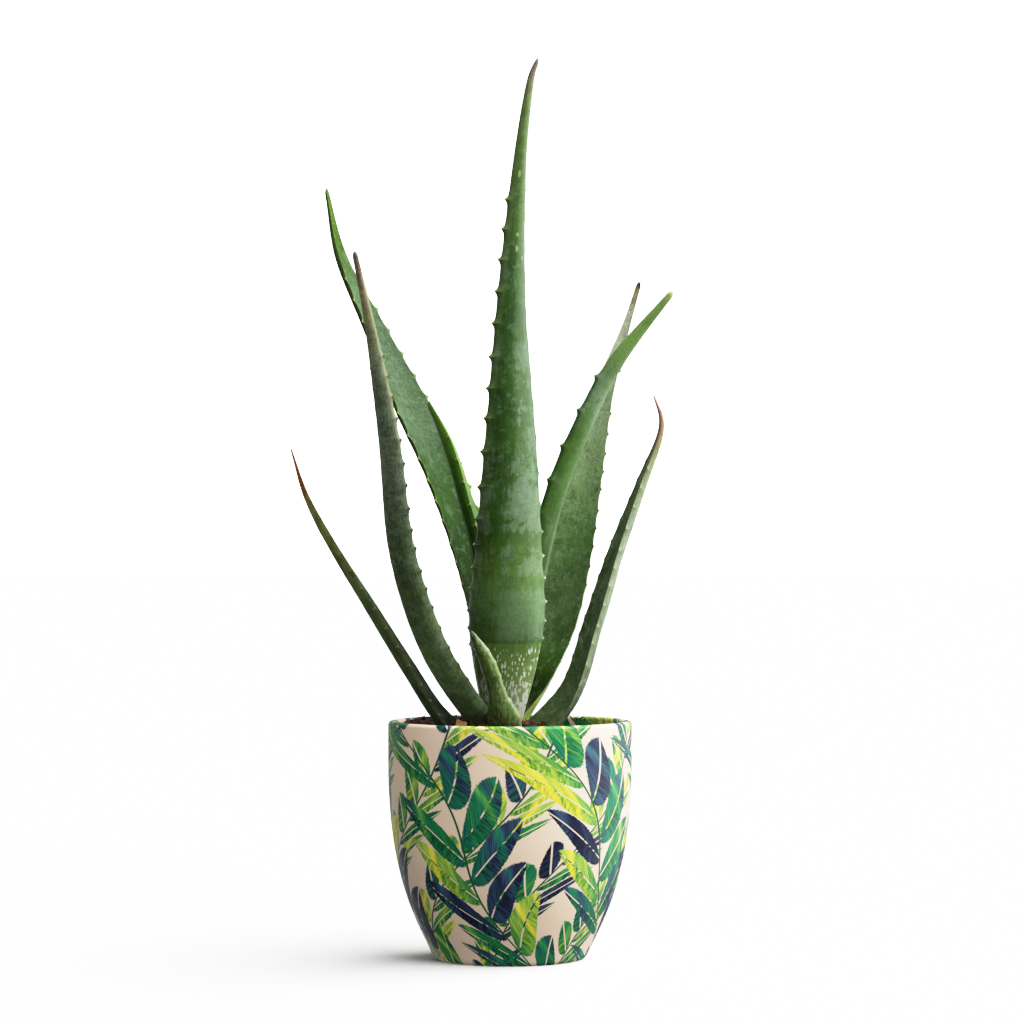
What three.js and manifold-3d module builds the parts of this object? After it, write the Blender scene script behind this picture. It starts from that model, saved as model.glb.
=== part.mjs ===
// A potted aloe vera: a round ceramic cover pot, filled with potting soil, that holds one young plant
// with nine fleshy, toothed leaves round a short rooted stem.
// Millimetres, +Z up. The origin is the centre of the pot's flat foot, and the plant's front faces -Y.
import * as THREE from "three";
import { mergeVertices } from "three/addons/utils/BufferGeometryUtils.js";
import Module from "manifold-3d";

const wasm = await Module();
wasm.setup();

// Pot
const POT_HEIGHT = 136.5;
const POT_RADIUS = 70.2;
const FOOT_RADIUS = 41;
const WALL = 5;
const LIP = 2.2;
const FLOOR = 8;
const POT_SIDES = 56;

// Clearance left between neighbours that touch
const GAP = 0.3;

// Soil
const SOIL_EDGE = 127;
const SOIL_MOUND = 9;
const SOIL_MOUND_SPREAD = 30;
const SOIL_HEAP = 7.5;
const SOIL_HEAP_AT = [-48, 32];
const SOIL_HEAP_SPREAD = 26;
const SOIL_LUMP = 0.9;

// Stem and roots
const STEM_AT = [-2, -3];
const STEM_BOTTOM = 92;
const STEM_TOP = 160;
const STEM_RADIUS = 9.5;
const ROOT_COUNT = 6;
const ROOT_RADIUS = 2.4;
const ROOT_REACH = 40;
const ROOT_DROP = 48;

// Leaves. The outer face is a half ellipse, and the inner face a shallow gutter.
const OUTER_POINTS = 5;
const INNER_POINTS = 3;
const GUTTER_SHARE = 0.1;
const TIP_ROUND = 4;

// Teeth along both margins, each with a long flank towards the root and a shorter one towards the tip
const TEETH_START = 0.13;
const TOOTH_ROOT_SIDE = 3.2;
const TOOTH_TIP_SIDE = 2.2;
const TOOTH_FULL_PITCH_AT = 0.35;

// Each leaf's sections stand along its spine from root to tip: x, y, z, the width across the margins, and
// the compass direction in degrees that the hollowed inner face looks to there, from 0 at +X to 90 at +Y.
// thickness is a share of the usual one, and pitch the spacing of the teeth near the root and further up.
// tooth is their height, bareTip how much of the tip has none, and seed sets their unevenness.
// Leaves are listed from the innermost outwards, and each is trimmed by those before it where it clasps them.
const LEAVES = [
  {
    name: "leaf_inner_right",
    sections: [
      [0, -2, 140, 15, 145],
      [5, -1, 172, 17, 142],
      [12, -3, 212, 16.4, 139],
      [24, -8, 263, 15, 137],
      [40, -12, 304, 13, 134],
      [60, -16, 342, 10, 131],
      [93, -20, 382.5, 4, 128],
    ],
    thickness: 0.95,
    pitch: [19, 21],
    tooth: 2.1,
    bareTip: 60,
    seed: 1,
    color: 0x57793f,
  },
  {
    name: "leaf_inner_left",
    sections: [
      [-3, 0, 140, 14, -24],
      [-6.5, 7, 182, 16.5, -19],
      [-14.8, 17, 236, 16.5, -14],
      [-22.5, 21, 264, 14, -10],
      [-33.2, 24, 297, 10, -6],
      [-47, 25, 322, 4, -4],
    ],
    thickness: 1.2,
    pitch: [10, 14],
    tooth: 1.2,
    bareTip: 18,
    seed: 2,
    color: 0x466f2c,
  },
  {
    name: "leaf_tall_front",
    sections: [
      [-4.5, -7, 128, 20, 88],
      [-2.8, -18.5, 171, 37, 90],
      [-1.8, -23.5, 200, 43, 96],
      [-0.9, -27, 234, 39, 108],
      [-0.5, -28, 297, 34.5, 128],
      [0, -27, 377, 19.6, 133],
      [4.5, -22, 451, 9.4, 134],
      [10.8, -16, 500, 5.2, 134],
      [16, -12, 517, 2.6, 134],
    ],
    thickness: 1,
    pitch: [5, 18.5],
    tooth: 2.4,
    bareTip: 74,
    seed: 10,
    color: 0x4c6a3a,
  },
  {
    name: "leaf_back_left",
    sections: [
      [-2, 3, 134, 18, -60],
      [-9, 20, 184, 24, -58],
      [-22.5, 38, 236, 25.5, -54],
      [-39, 54, 282, 26.5, -50],
      [-59, 67, 324, 25.5, -45],
      [-79.5, 79, 367, 18, -38],
      [-100.5, 89, 412, 10, -28],
      [-111, 97, 454, 3.4, -25],
    ],
    thickness: 1,
    pitch: [7.5, 15],
    tooth: 2.3,
    bareTip: 56,
    seed: 4,
    color: 0x6f8f5e,
  },
  {
    name: "leaf_back_right",
    sections: [
      [0, 2, 130, 20, -162],
      [12, 14, 160, 25, -121],
      [25, 28, 194, 30, -116],
      [34, 38, 232, 29, -115],
      [43, 46, 276, 23, -114],
      [54, 52, 324, 13.6, -112],
      [68, 56, 365, 5.4, -111],
      [77, 58, 394, 3, -110],
    ],
    thickness: 0.85,
    pitch: [10, 12],
    tooth: 1.3,
    bareTip: 78,
    seed: 5,
    color: 0x466032,
  },
  {
    name: "leaf_front_left",
    sections: [
      [-4, -6, 126, 17, 45],
      [-24, -20, 150, 19, 47],
      [-44, -34, 184, 19, 49],
      [-60, -48, 235, 17, 52],
      [-67, -56, 296, 13, 56],
      [-77, -59, 355, 6.8, 59],
      [-87, -58, 402, 3.2, 62],
    ],
    thickness: 1.1,
    pitch: [11, 12],
    tooth: 1.4,
    bareTip: 60,
    seed: 6,
    color: 0x41502f,
  },
  {
    name: "leaf_low_right",
    sections: [
      [1, -5, 118, 19, 208],
      [31, -12, 151, 20, 206],
      [46, -6, 193, 18, 205],
      [59.5, -1, 235, 15.2, 201],
      [74, 4, 273, 10.2, 196],
      [86.5, 7, 305, 5.4, 193],
      [83, 8, 325, 1.6, 192],
    ],
    thickness: 1,
    pitch: [9, 12],
    tooth: 1.1,
    bareTip: 40,
    seed: 7,
    color: 0x50633f,
  },
  {
    name: "leaf_low_left",
    sections: [
      [-5, -5, 116, 17, -6],
      [-34, -14, 137, 18.5, -3],
      [-55.2, -21, 169, 18, 0],
      [-76.2, -27, 203, 15.6, 2],
      [-96.3, -31, 235, 11.6, 4],
      [-113.6, -33, 265, 6.6, 5],
      [-124, -34, 293, 1.8, 6],
    ],
    thickness: 0.95,
    pitch: [9, 12],
    tooth: 1.1,
    bareTip: 36,
    seed: 8,
    color: 0x3f4a30,
  },
  {
    name: "leaf_pup_front",
    sections: [
      [-2, -9, 118, 17, 62],
      [-2.6, -27, 138, 22, 60],
      [-6.6, -34.5, 153, 11.5, 57],
      [-11, -38, 168, 10, 54],
      [-15.8, -39, 178.5, 7.4, 52],
      [-22.5, -39, 189.5, 3, 50],
    ],
    thickness: 1,
    pitch: [7, 8],
    tooth: 0.4,
    bareTip: 10,
    seed: 9,
    color: 0x5b7143,
  },
];

// A closed three.js geometry as a manifold solid, turned the right way out.
function solidFrom(geometry) {
  const bare = geometry.clone();
  bare.deleteAttribute("normal");
  bare.deleteAttribute("uv");
  const merged = mergeVertices(bare, 1e-4);
  const triVerts = new Uint32Array(merged.index.array);
  const vertProperties = new Float32Array(merged.attributes.position.array);
  const solid = new wasm.Manifold(new wasm.Mesh({ numProp: 3, vertProperties, triVerts }));
  if (solid.volume() > 0) return solid;
  return new wasm.Manifold(new wasm.Mesh({ numProp: 3, vertProperties, triVerts: triVerts.reverse() }));
}

// A manifold solid as a three.js geometry.
function geometryFrom(solid) {
  const { vertProperties, triVerts } = solid.getMesh();
  const geometry = new THREE.BufferGeometry();
  geometry.setAttribute("position", new THREE.BufferAttribute(vertProperties, 3));
  geometry.setIndex(new THREE.BufferAttribute(triVerts, 1));
  geometry.computeVertexNormals();
  return geometry;
}

// The largest connected piece of a solid, which drops any scrap that a cut leaves.
function largestPiece(solid) {
  return solid.decompose().reduce((best, piece) => (piece.volume() > best.volume() ? piece : best));
}

// The same draw for the same seed, from 0 to 1.
function seededRandom(seed) {
  let state = seed;
  return () => {
    state = (state * 1664525 + 1013904223) % 4294967296;
    return state / 4294967296;
  };
}

// A closed loft: the same number of points in each ring, from a capped root ring to a tip point.
function loft(rings, rootCentre, tip) {
  const sides = rings[0].length;
  const points = [...rings.flat(), rootCentre, tip];
  const rootIndex = points.length - 2;
  const tipIndex = points.length - 1;
  const faces = [];
  for (let side = 0; side < sides; side++) {
    const next = (side + 1) % sides;
    faces.push(rootIndex, next, side);
    for (let ring = 0; ring < rings.length - 1; ring++) {
      const a = ring * sides + side;
      const b = ring * sides + next;
      faces.push(a, b, b + sides, a, b + sides, a + sides);
    }
    const last = (rings.length - 1) * sides;
    faces.push(last + side, last + next, tipIndex);
  }
  const geometry = new THREE.BufferGeometry().setFromPoints(points);
  geometry.setIndex(faces);
  return geometry;
}

// The value of a list of numbers at u, from 0 at its first to 1 at its last, on a Catmull-Rom curve.
function smoothValue(values, u) {
  const curve = new THREE.SplineCurve(values.map((value, index) => new THREE.Vector2(index, value)));
  return curve.getPoint(u).y;
}

function lerp(pair, u) {
  return THREE.MathUtils.lerp(pair[0], pair[1], u);
}

// Plain rings evenly between two places along a leaf, at most a step apart.
function plainStations(from, to, step) {
  const count = Math.max(1, Math.round((to - from) / step));
  return Array.from({ length: count }, (_, i) => ({ at: from + ((to - from) * i) / count, tooth: 0 }));
}

// Where a leaf's rings stand along its spine, with the height of the tooth there.
// A tooth is three rings: its foot, its point and its foot again. Teeth near the root are small.
function leafStations(leaf, length) {
  const random = seededRandom(leaf.seed);
  const first = length * TEETH_START;
  const stations = plainStations(0, first, 12);
  let at = first + 3;
  while (at < length - leaf.bareTip) {
    const share = at / length;
    stations.push({ at: at - TOOTH_ROOT_SIDE, tooth: 0 });
    stations.push({ at, tooth: leaf.tooth * Math.min(1, 0.1 + 2.2 * share) });
    stations.push({ at: at + TOOTH_TIP_SIDE, tooth: 0 });
    at += lerp(leaf.pitch, Math.min(1, share / TOOTH_FULL_PITCH_AT)) * (0.88 + 0.24 * random());
  }
  stations.push(...plainStations(Math.max(at, length - leaf.bareTip), length - TIP_ROUND, 12));
  for (const left of [1, 0.4, 0.1]) stations.push({ at: length - TIP_ROUND * left, tooth: 0 });
  return stations;
}

// One leaf as a geometry. grow adds to its size all round, for the space that its neighbours leave it.
function leafGeometry(leaf, grow) {
  const points = leaf.sections.map(([x, y, z]) => new THREE.Vector3(x, y, z));
  const widths = leaf.sections.map((section) => section[3]);
  const facings = leaf.sections.map((section) => THREE.MathUtils.degToRad(section[4]));
  const curve = new THREE.CatmullRomCurve3(points, false, "catmullrom", 0.5);
  curve.arcLengthDivisions = 400;
  const length = curve.getLength();
  const rings = leafStations(leaf, length).map(({ at, tooth }) => {
    const u = curve.getUtoTmapping(at / length);
    const along = curve.getTangent(u);
    const centre = curve.getPoint(u).addScaledVector(along, at > 0 ? 0 : -grow);
    const compass = smoothValue(facings, u);
    const inward = new THREE.Vector3(Math.cos(compass), Math.sin(compass), 0);
    inward.addScaledVector(along, -inward.dot(along)).normalize();
    const across = new THREE.Vector3().crossVectors(along, inward);
    const rounding = Math.max(0, 1 - (length - at) / TIP_ROUND);
    const width = smoothValue(widths, u) * Math.sqrt(1 - rounding ** 2);
    const half = width / 2 + grow;
    const depth = leaf.thickness * (0.28 * width + Math.min(2.4, 0.25 * width)) + grow;
    const gutter = GUTTER_SHARE * width * Math.min(1, width / 12);
    const place = (x, z) => centre.clone().addScaledVector(across, x).addScaledVector(inward, z);
    const ring = [place(half + tooth, grow)];
    for (let i = 1; i <= OUTER_POINTS; i++) {
      const turn = (Math.PI * i) / (OUTER_POINTS + 1);
      ring.push(place(half * Math.cos(turn), -depth * Math.sin(turn)));
    }
    ring.push(place(-half - tooth, grow));
    for (let i = 1; i <= INNER_POINTS; i++) {
      const x = (2 * i) / (INNER_POINTS + 1) - 1;
      ring.push(place(half * x, grow - gutter * (1 - x * x)));
    }
    return ring;
  });
  const rootCentre = new THREE.Vector3();
  for (const point of rings[0]) rootCentre.addScaledVector(point, 1 / rings[0].length);
  const tip = curve.getPoint(1).addScaledVector(curve.getTangent(1), grow);
  return loft(rings, rootCentre, tip);
}

// A tapered root or stem: a round section along a curve, closed to a point. grow adds to its size all round.
function taperGeometry(points, radii, sides, grow) {
  const curve = new THREE.CatmullRomCurve3(points, false, "catmullrom", 0.5);
  const steps = radii.length;
  const rings = radii.map((radius, step) => {
    const u = step / steps;
    const along = curve.getTangent(u);
    const side = new THREE.Vector3(0, 1, 0).cross(along);
    if (side.length() < 0.1) side.set(1, 0, 0).cross(along);
    side.normalize();
    const up = new THREE.Vector3().crossVectors(along, side);
    return Array.from({ length: sides }, (_, i) => {
      const turn = (2 * Math.PI * i) / sides;
      return curve
        .getPoint(u)
        .addScaledVector(side, (radius + 1.2 * grow) * Math.cos(turn))
        .addScaledVector(up, (radius + 1.2 * grow) * Math.sin(turn));
    });
  });
  const end = curve.getPoint(1).addScaledVector(curve.getTangent(1), 6 * grow);
  return loft(rings, curve.getPoint(0), end);
}

// The short stem with its roots. They grow from its lower end, out and down into the soil.
function stemSolid(grow) {
  const [x, y] = STEM_AT;
  const stem = taperGeometry(
    [
      new THREE.Vector3(x, y, STEM_BOTTOM - grow),
      new THREE.Vector3(x, y, (STEM_BOTTOM + STEM_TOP) / 2),
      new THREE.Vector3(x, y, STEM_TOP),
    ],
    [0.55, 0.85, 1, 1, 0.9, 0.72, 0.4].map((share) => share * STEM_RADIUS),
    12,
    grow,
  );
  let solid = solidFrom(stem);
  for (let i = 0; i < ROOT_COUNT; i++) {
    const turn = (2 * Math.PI * (i + 0.3)) / ROOT_COUNT;
    const spread = new THREE.Vector3(Math.cos(turn), Math.sin(turn), 0);
    const start = new THREE.Vector3(x, y, STEM_BOTTOM + 8 - (i % 2) * 5);
    const reach = ROOT_REACH * (i % 2 ? 0.8 : 1);
    const root = taperGeometry(
      [
        start,
        start.clone().addScaledVector(spread, reach * 0.55).add(new THREE.Vector3(0, 0, -ROOT_DROP * 0.22)),
        start.clone().addScaledVector(spread, reach).add(new THREE.Vector3(0, 0, -ROOT_DROP)),
      ],
      [1, 0.9, 0.75, 0.55, 0.35].map((share) => share * ROOT_RADIUS),
      6,
      grow,
    );
    solid = solid.add(solidFrom(root));
  }
  return solid;
}

// The pot's outside, from the edge of the foot to the top of the wall, as radius and height.
function potOutside() {
  const outside = new THREE.Path();
  outside.moveTo(FOOT_RADIUS, 0);
  outside.quadraticCurveTo(FOOT_RADIUS + 3, 0, FOOT_RADIUS + 4.4, 4);
  outside.bezierCurveTo(55, 24, POT_RADIUS - 0.4, 48, POT_RADIUS, 112);
  outside.lineTo(POT_RADIUS, POT_HEIGHT - LIP);
  return outside;
}

// The pot's inside radius at a height: the wall's thickness in from the outside.
function potInsideRadius(height) {
  const points = potOutside().getPoints(24);
  const above = points.findIndex((p) => p.y >= height);
  const [low, high] = [points[above - 1], points[above]];
  return lerp([low.x, high.x], (height - low.y) / (high.y - low.y)) - WALL;
}

const POT_INSIDE_HEIGHTS = [16, 28, 42, 60, 84, 112];

// The profile of the pot's inside, offset inwards by a clearance, from the floor to near the top.
function insideProfile(clearance, heights) {
  const floorEdge = potInsideRadius(FLOOR + 3) - 6 - clearance;
  const wall = heights.map((height) => new THREE.Vector2(potInsideRadius(height) - clearance, height));
  return [new THREE.Vector2(0, FLOOR + clearance), new THREE.Vector2(floorEdge, FLOOR + clearance), ...wall];
}

// The slip-cast pot: foot, curved wall, rounded lip, and the inside down to the floor.
function potSolid() {
  const outside = potOutside().getPoints(8);
  const lipMiddle = POT_RADIUS - LIP;
  const lip = [30, 60, 90, 130, 170].map((degrees) => {
    const turn = THREE.MathUtils.degToRad(degrees);
    return new THREE.Vector2(lipMiddle + LIP * Math.cos(turn), POT_HEIGHT - LIP + LIP * Math.sin(turn));
  });
  const inside = insideProfile(0, [...POT_INSIDE_HEIGHTS, POT_HEIGHT - 3 * LIP]).reverse();
  const profile = [new THREE.Vector2(0, 0), ...outside, ...lip, ...inside];
  return solidFrom(new THREE.LatheGeometry(profile, POT_SIDES).rotateX(Math.PI / 2));
}

// The height of the soil's surface: a mound at the plant, a heap at the back left, and crumbs.
function soilTop(x, y) {
  const bump = (height, [cx, cy], spread) => {
    return height * Math.exp(-((x - cx) ** 2 + (y - cy) ** 2) / (2 * spread ** 2));
  };
  const crumbs = Math.sin(0.41 * x + 1.3) * Math.sin(0.37 * y - 0.6) + 0.6 * Math.sin(0.83 * x - 0.71 * y);
  const mound = bump(SOIL_MOUND, STEM_AT, SOIL_MOUND_SPREAD);
  return SOIL_EDGE + mound + bump(SOIL_HEAP, SOIL_HEAP_AT, SOIL_HEAP_SPREAD) + SOIL_LUMP * crumbs;
}

// The soil: the pot's inside shape below, with an uneven surface on top.
function soilSolid() {
  const below = insideProfile(GAP, POT_INSIDE_HEIGHTS);
  const edge = potInsideRadius(SOIL_EDGE - 2) - GAP;
  const surface = [1, 0.9, 0.78, 0.65, 0.52, 0.4, 0.28, 0.15, 0].map((share) => {
    return new THREE.Vector2(edge * share, SOIL_EDGE);
  });
  const geometry = new THREE.LatheGeometry([...below, ...surface], POT_SIDES).rotateX(Math.PI / 2);
  const position = geometry.attributes.position;
  for (let i = 0; i < position.count; i++) {
    if (position.getZ(i) < SOIL_EDGE - 1) continue;
    position.setZ(i, soilTop(position.getX(i), position.getY(i)));
  }
  return solidFrom(geometry);
}

function named(name, solid, color, roughness) {
  const material = new THREE.MeshStandardMaterial({ color, roughness, metalness: 0 });
  const mesh = new THREE.Mesh(geometryFrom(solid), material);
  mesh.name = name;
  return mesh;
}

// The plant, from the stem outwards. What is already placed is cut, grown by the gap, out of what follows.
function plantMeshes() {
  const meshes = [named("stem_and_roots", stemSolid(0), 0x8f8a5a, 0.8)];
  let taken = stemSolid(GAP);
  LEAVES.forEach((leaf) => {
    const whole = solidFrom(leafGeometry(leaf, 0));
    meshes.push(named(leaf.name, largestPiece(whole.subtract(taken)), leaf.color, 0.5));
    taken = taken.add(solidFrom(leafGeometry(leaf, GAP)));
  });
  return { meshes, taken };
}

const plant = plantMeshes();
const soil = largestPiece(soilSolid().subtract(plant.taken));
const group = new THREE.Group();
group.add(named("pot", potSolid(), 0xe6d9c5, 0.45));
group.add(named("soil", soil, 0x3a261b, 1));
plant.meshes.forEach((mesh) => group.add(mesh));

export default group;
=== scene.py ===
import math
import random

import bpy
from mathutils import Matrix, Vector, noise


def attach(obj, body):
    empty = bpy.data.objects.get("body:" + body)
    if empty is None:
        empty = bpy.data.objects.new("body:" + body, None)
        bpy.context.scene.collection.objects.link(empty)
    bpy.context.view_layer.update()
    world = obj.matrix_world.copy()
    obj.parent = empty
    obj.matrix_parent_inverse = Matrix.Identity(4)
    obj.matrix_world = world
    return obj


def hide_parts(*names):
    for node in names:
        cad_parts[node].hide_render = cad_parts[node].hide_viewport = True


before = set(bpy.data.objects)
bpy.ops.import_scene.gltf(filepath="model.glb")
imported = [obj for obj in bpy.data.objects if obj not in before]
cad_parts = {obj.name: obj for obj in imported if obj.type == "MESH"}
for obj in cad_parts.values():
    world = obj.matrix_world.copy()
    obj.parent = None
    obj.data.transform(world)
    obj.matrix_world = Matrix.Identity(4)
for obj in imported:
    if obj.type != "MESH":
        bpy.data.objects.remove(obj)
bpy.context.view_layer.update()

MM = 0.001


# The pot: slip-cast ceramic, nearly straight at the top and drawn in to a small flat foot.
# The thin rim is rounded, and the wall inside follows the outside down to a closed floor.
# The glaze is a satin cream, with a pattern of leafy sprigs printed on it, over the rim to the inside.
POT_HEIGHT = 136.5
POT_RADIUS = 70.2
FOOT_RADIUS = 41
POT_WALL = 5
LIP = 2.2
POT_FLOOR = 8
POT_SIDES = 144
POT_GIRTH = 2 * math.pi * POT_RADIUS
# Radius and height: the end of the foot's rounded edge, then the points that draw the wall's curve.
FOOT_EDGE = (FOOT_RADIUS + 4.4, 4)
BELLY = [(55, 24), (POT_RADIUS - 0.4, 48), (POT_RADIUS, 112)]
LINED_FROM = 16
LINED_TO = 130
SHARP_EDGE = math.radians(50)


def bezier(points, steps):
    """Points along a Bezier curve, without its first one."""
    line = []
    for step in range(1, steps + 1):
        level = [Vector(p) for p in points]
        while len(level) > 1:
            level = [a.lerp(b, step / steps) for a, b in zip(level, level[1:])]
        line.append(tuple(level[0]))
    return line


def pot_profile():
    """Radius and height in millimetres, from the foot up the outside, over the lip and down the inside."""
    outside = [(FOOT_RADIUS, 0)]
    outside += bezier([(FOOT_RADIUS, 0), (FOOT_RADIUS + 3, 0), FOOT_EDGE], 5)
    outside += bezier([FOOT_EDGE, *BELLY], 26)
    outside += [(POT_RADIUS, 123), (POT_RADIUS, POT_HEIGHT - LIP)]
    lip = []
    for degrees in range(20, 181, 20):
        turn = math.radians(degrees)
        radius = POT_RADIUS - LIP + LIP * math.cos(turn)
        lip.append((radius, POT_HEIGHT - LIP + LIP * math.sin(turn)))
    inside = []
    for radius, height in reversed(outside):
        if LINED_FROM < height < LINED_TO:
            inside.append((radius - POT_WALL, height))
    inside.append((FOOT_RADIUS + 1, POT_FLOOR))
    return outside + lip + inside


def turned_pot(profile):
    """A ring drawn out along the profile, then closed at the floor and under the foot."""
    bpy.ops.object.select_all(action="DESELECT")
    first_radius = profile[0][0] * MM
    bpy.ops.mesh.primitive_circle_add(vertices=POT_SIDES, radius=first_radius, fill_type="NOTHING")
    bpy.ops.object.mode_set(mode="EDIT")
    bpy.ops.mesh.select_all(action="SELECT")
    for (radius, height), (next_radius, next_height) in zip(profile, profile[1:]):
        rise = (0, 0, (next_height - height) * MM)
        bpy.ops.mesh.extrude_region_move(TRANSFORM_OT_translate={"value": rise})
        spread = next_radius / radius
        bpy.ops.transform.resize(value=(spread, spread, 1), center_override=(0, 0, next_height * MM))
    bpy.ops.mesh.edge_face_add()
    bpy.ops.mesh.select_all(action="DESELECT")
    bpy.ops.mesh.select_non_manifold()
    bpy.ops.mesh.edge_face_add()
    bpy.ops.mesh.select_all(action="SELECT")
    bpy.ops.mesh.normals_make_consistent(inside=False)
    bpy.ops.object.mode_set(mode="OBJECT")
    bpy.ops.object.shade_smooth_by_angle(angle=SHARP_EDGE)
    return bpy.context.object


def wrap_map(piece, profile):
    """A UV map of the wall: the share of the way round, and the length of the profile in decimetres."""
    lengths = [0.0]
    for before, after in zip(profile, profile[1:]):
        lengths.append(lengths[-1] + math.dist(before, after))
    mesh = piece.data
    rises = []
    for vertex in mesh.vertices:
        place = vertex.co / MM
        here = math.hypot(place.x, place.y), place.z
        nearest = min(range(len(profile)), key=lambda index: math.dist(profile[index], here))
        rises.append(lengths[nearest] / 100)
    layer = mesh.uv_layers.active or mesh.uv_layers.new(name="wrap")
    layer.name = "wrap"
    for face in mesh.polygons:
        middle = math.atan2(face.center.y, face.center.x)
        for corner in face.loop_indices:
            index = mesh.loops[corner].vertex_index
            turn = math.atan2(mesh.vertices[index].co.y, mesh.vertices[index].co.x)
            turn += 2 * math.pi * round((middle - turn) / (2 * math.pi))
            layer.data[corner].uv = (turn / (2 * math.pi) + 0.5, rises[index])


def paint(red, green, blue):
    """A colour, 0 to 255 a channel, as the linear one that the shaders take."""
    linear = []
    for channel in (red, green, blue):
        share = channel / 255
        linear.append(share / 12.92 if share <= 0.04045 else ((share + 0.055) / 1.055) ** 2.4)
    return (*linear, 1.0)


def feed(tree, source, socket):
    """Links a socket, or sets a number or colour."""
    if isinstance(source, bpy.types.NodeSocket):
        tree.links.new(source, socket)
    else:
        socket.default_value = source


def calc(tree, operation, *values):
    """A Math node's result."""
    node = tree.nodes.new("ShaderNodeMath")
    node.operation = operation
    for value, socket in zip(values, node.inputs):
        feed(tree, value, socket)
    return node.outputs[0]


def ease(tree, value, low, high, start=0.0, end=1.0):
    """start where value is low or less, end where it is high or more, and a smooth change between."""
    node = tree.nodes.new("ShaderNodeMapRange")
    node.interpolation_type = "SMOOTHSTEP"
    feed(tree, value, node.inputs[0])
    for number, socket in zip((low, high, start, end), node.inputs[1:5]):
        feed(tree, number, socket)
    return node.outputs[0]


def mixed(tree, share, first, second, way="MIX"):
    """Two colours mixed: all first at share 0, all second at 1."""
    node = tree.nodes.new("ShaderNodeMix")
    node.data_type = "RGBA"
    node.blend_type = way
    feed(tree, share, node.inputs[0])
    feed(tree, first, node.inputs[6])
    feed(tree, second, node.inputs[7])
    return node.outputs[2]


def ramp(tree, share, stops):
    """The colour at share on a ramp of (place, colour) stops."""
    node = tree.nodes.new("ShaderNodeValToRGB")
    elements = node.color_ramp.elements
    while len(elements) < len(stops):
        elements.new(0.5)
    for element, (place, colour) in zip(elements, stops):
        element.position = place
        element.color = colour
    feed(tree, share, node.inputs[0])
    return node.outputs[0]


def cloud(tree, place, scale, detail=3.0, roughness=0.5, distortion=0.0):
    """Soft noise from 0 to 1."""
    node = tree.nodes.new("ShaderNodeTexNoise")
    node.noise_dimensions = "3D"
    feed(tree, place, node.inputs["Vector"])
    node.inputs["Scale"].default_value = scale
    node.inputs["Detail"].default_value = detail
    node.inputs["Roughness"].default_value = roughness
    node.inputs["Distortion"].default_value = distortion
    return node.outputs[0]


def vector(tree, x, y, z=0.0):
    node = tree.nodes.new("ShaderNodeCombineXYZ")
    for value, socket in zip((x, y, z), node.inputs):
        feed(tree, value, socket)
    return node.outputs[0]


def parts_of(tree, place):
    node = tree.nodes.new("ShaderNodeSeparateXYZ")
    feed(tree, place, node.inputs[0])
    return node.outputs


def object_place(tree):
    return tree.nodes.new("ShaderNodeTexCoord").outputs["Object"]


def raised(tree, height, strength, distance):
    """The surface direction of a bump."""
    node = tree.nodes.new("ShaderNodeBump")
    node.inputs["Strength"].default_value = strength
    node.inputs["Distance"].default_value = distance
    feed(tree, height, node.inputs["Height"])
    return node.outputs[0]


def new_material(name):
    """A material with a bare Principled shader."""
    material = bpy.data.materials.new(name)
    material.use_nodes = True
    tree = material.node_tree
    return material, tree, tree.nodes["Principled BSDF"]


CREAM = paint(230, 204, 178), paint(238, 213, 190)
# The print's colours from navy to yellow, in the brush's full strokes and in its thin ones.
SHADED_PRINT = [
    (0.0, paint(6, 8, 32)),
    (0.24, paint(12, 26, 52)),
    (0.34, paint(0, 54, 46)),
    (0.5, paint(0, 78, 50)),
    (0.64, paint(26, 104, 44)),
    (0.8, paint(112, 158, 40)),
    (0.92, paint(212, 198, 26)),
]
BRIGHT_PRINT = [
    (0.0, paint(26, 34, 66)),
    (0.24, paint(62, 86, 114)),
    (0.34, paint(40, 116, 104)),
    (0.5, paint(34, 138, 84)),
    (0.64, paint(104, 172, 84)),
    (0.8, paint(186, 214, 92)),
    (0.92, paint(244, 230, 84)),
]
# The two layers of sprigs. columns is the number of stems round the pot, lean how far they tilt, in columns
# a millimetre, pitch the way up from one leaflet to the next, and leaflet its length, half width and the
# share of leaflets that is printed.
FINE_SPRIGS = {"columns": 7, "lean": -0.012, "pitch": 14.5, "leaflet": (38.0, 5.2, 0.94), "seed": 3.0}
BOLD_SPRIGS = {"columns": 5, "lean": 0.008, "pitch": 22.0, "leaflet": (58.0, 8.2, 0.92), "seed": 8.0}
LEAFLET_ANGLE = math.radians(48)
STEM_PRINT = paint(38, 84, 58)


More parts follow.
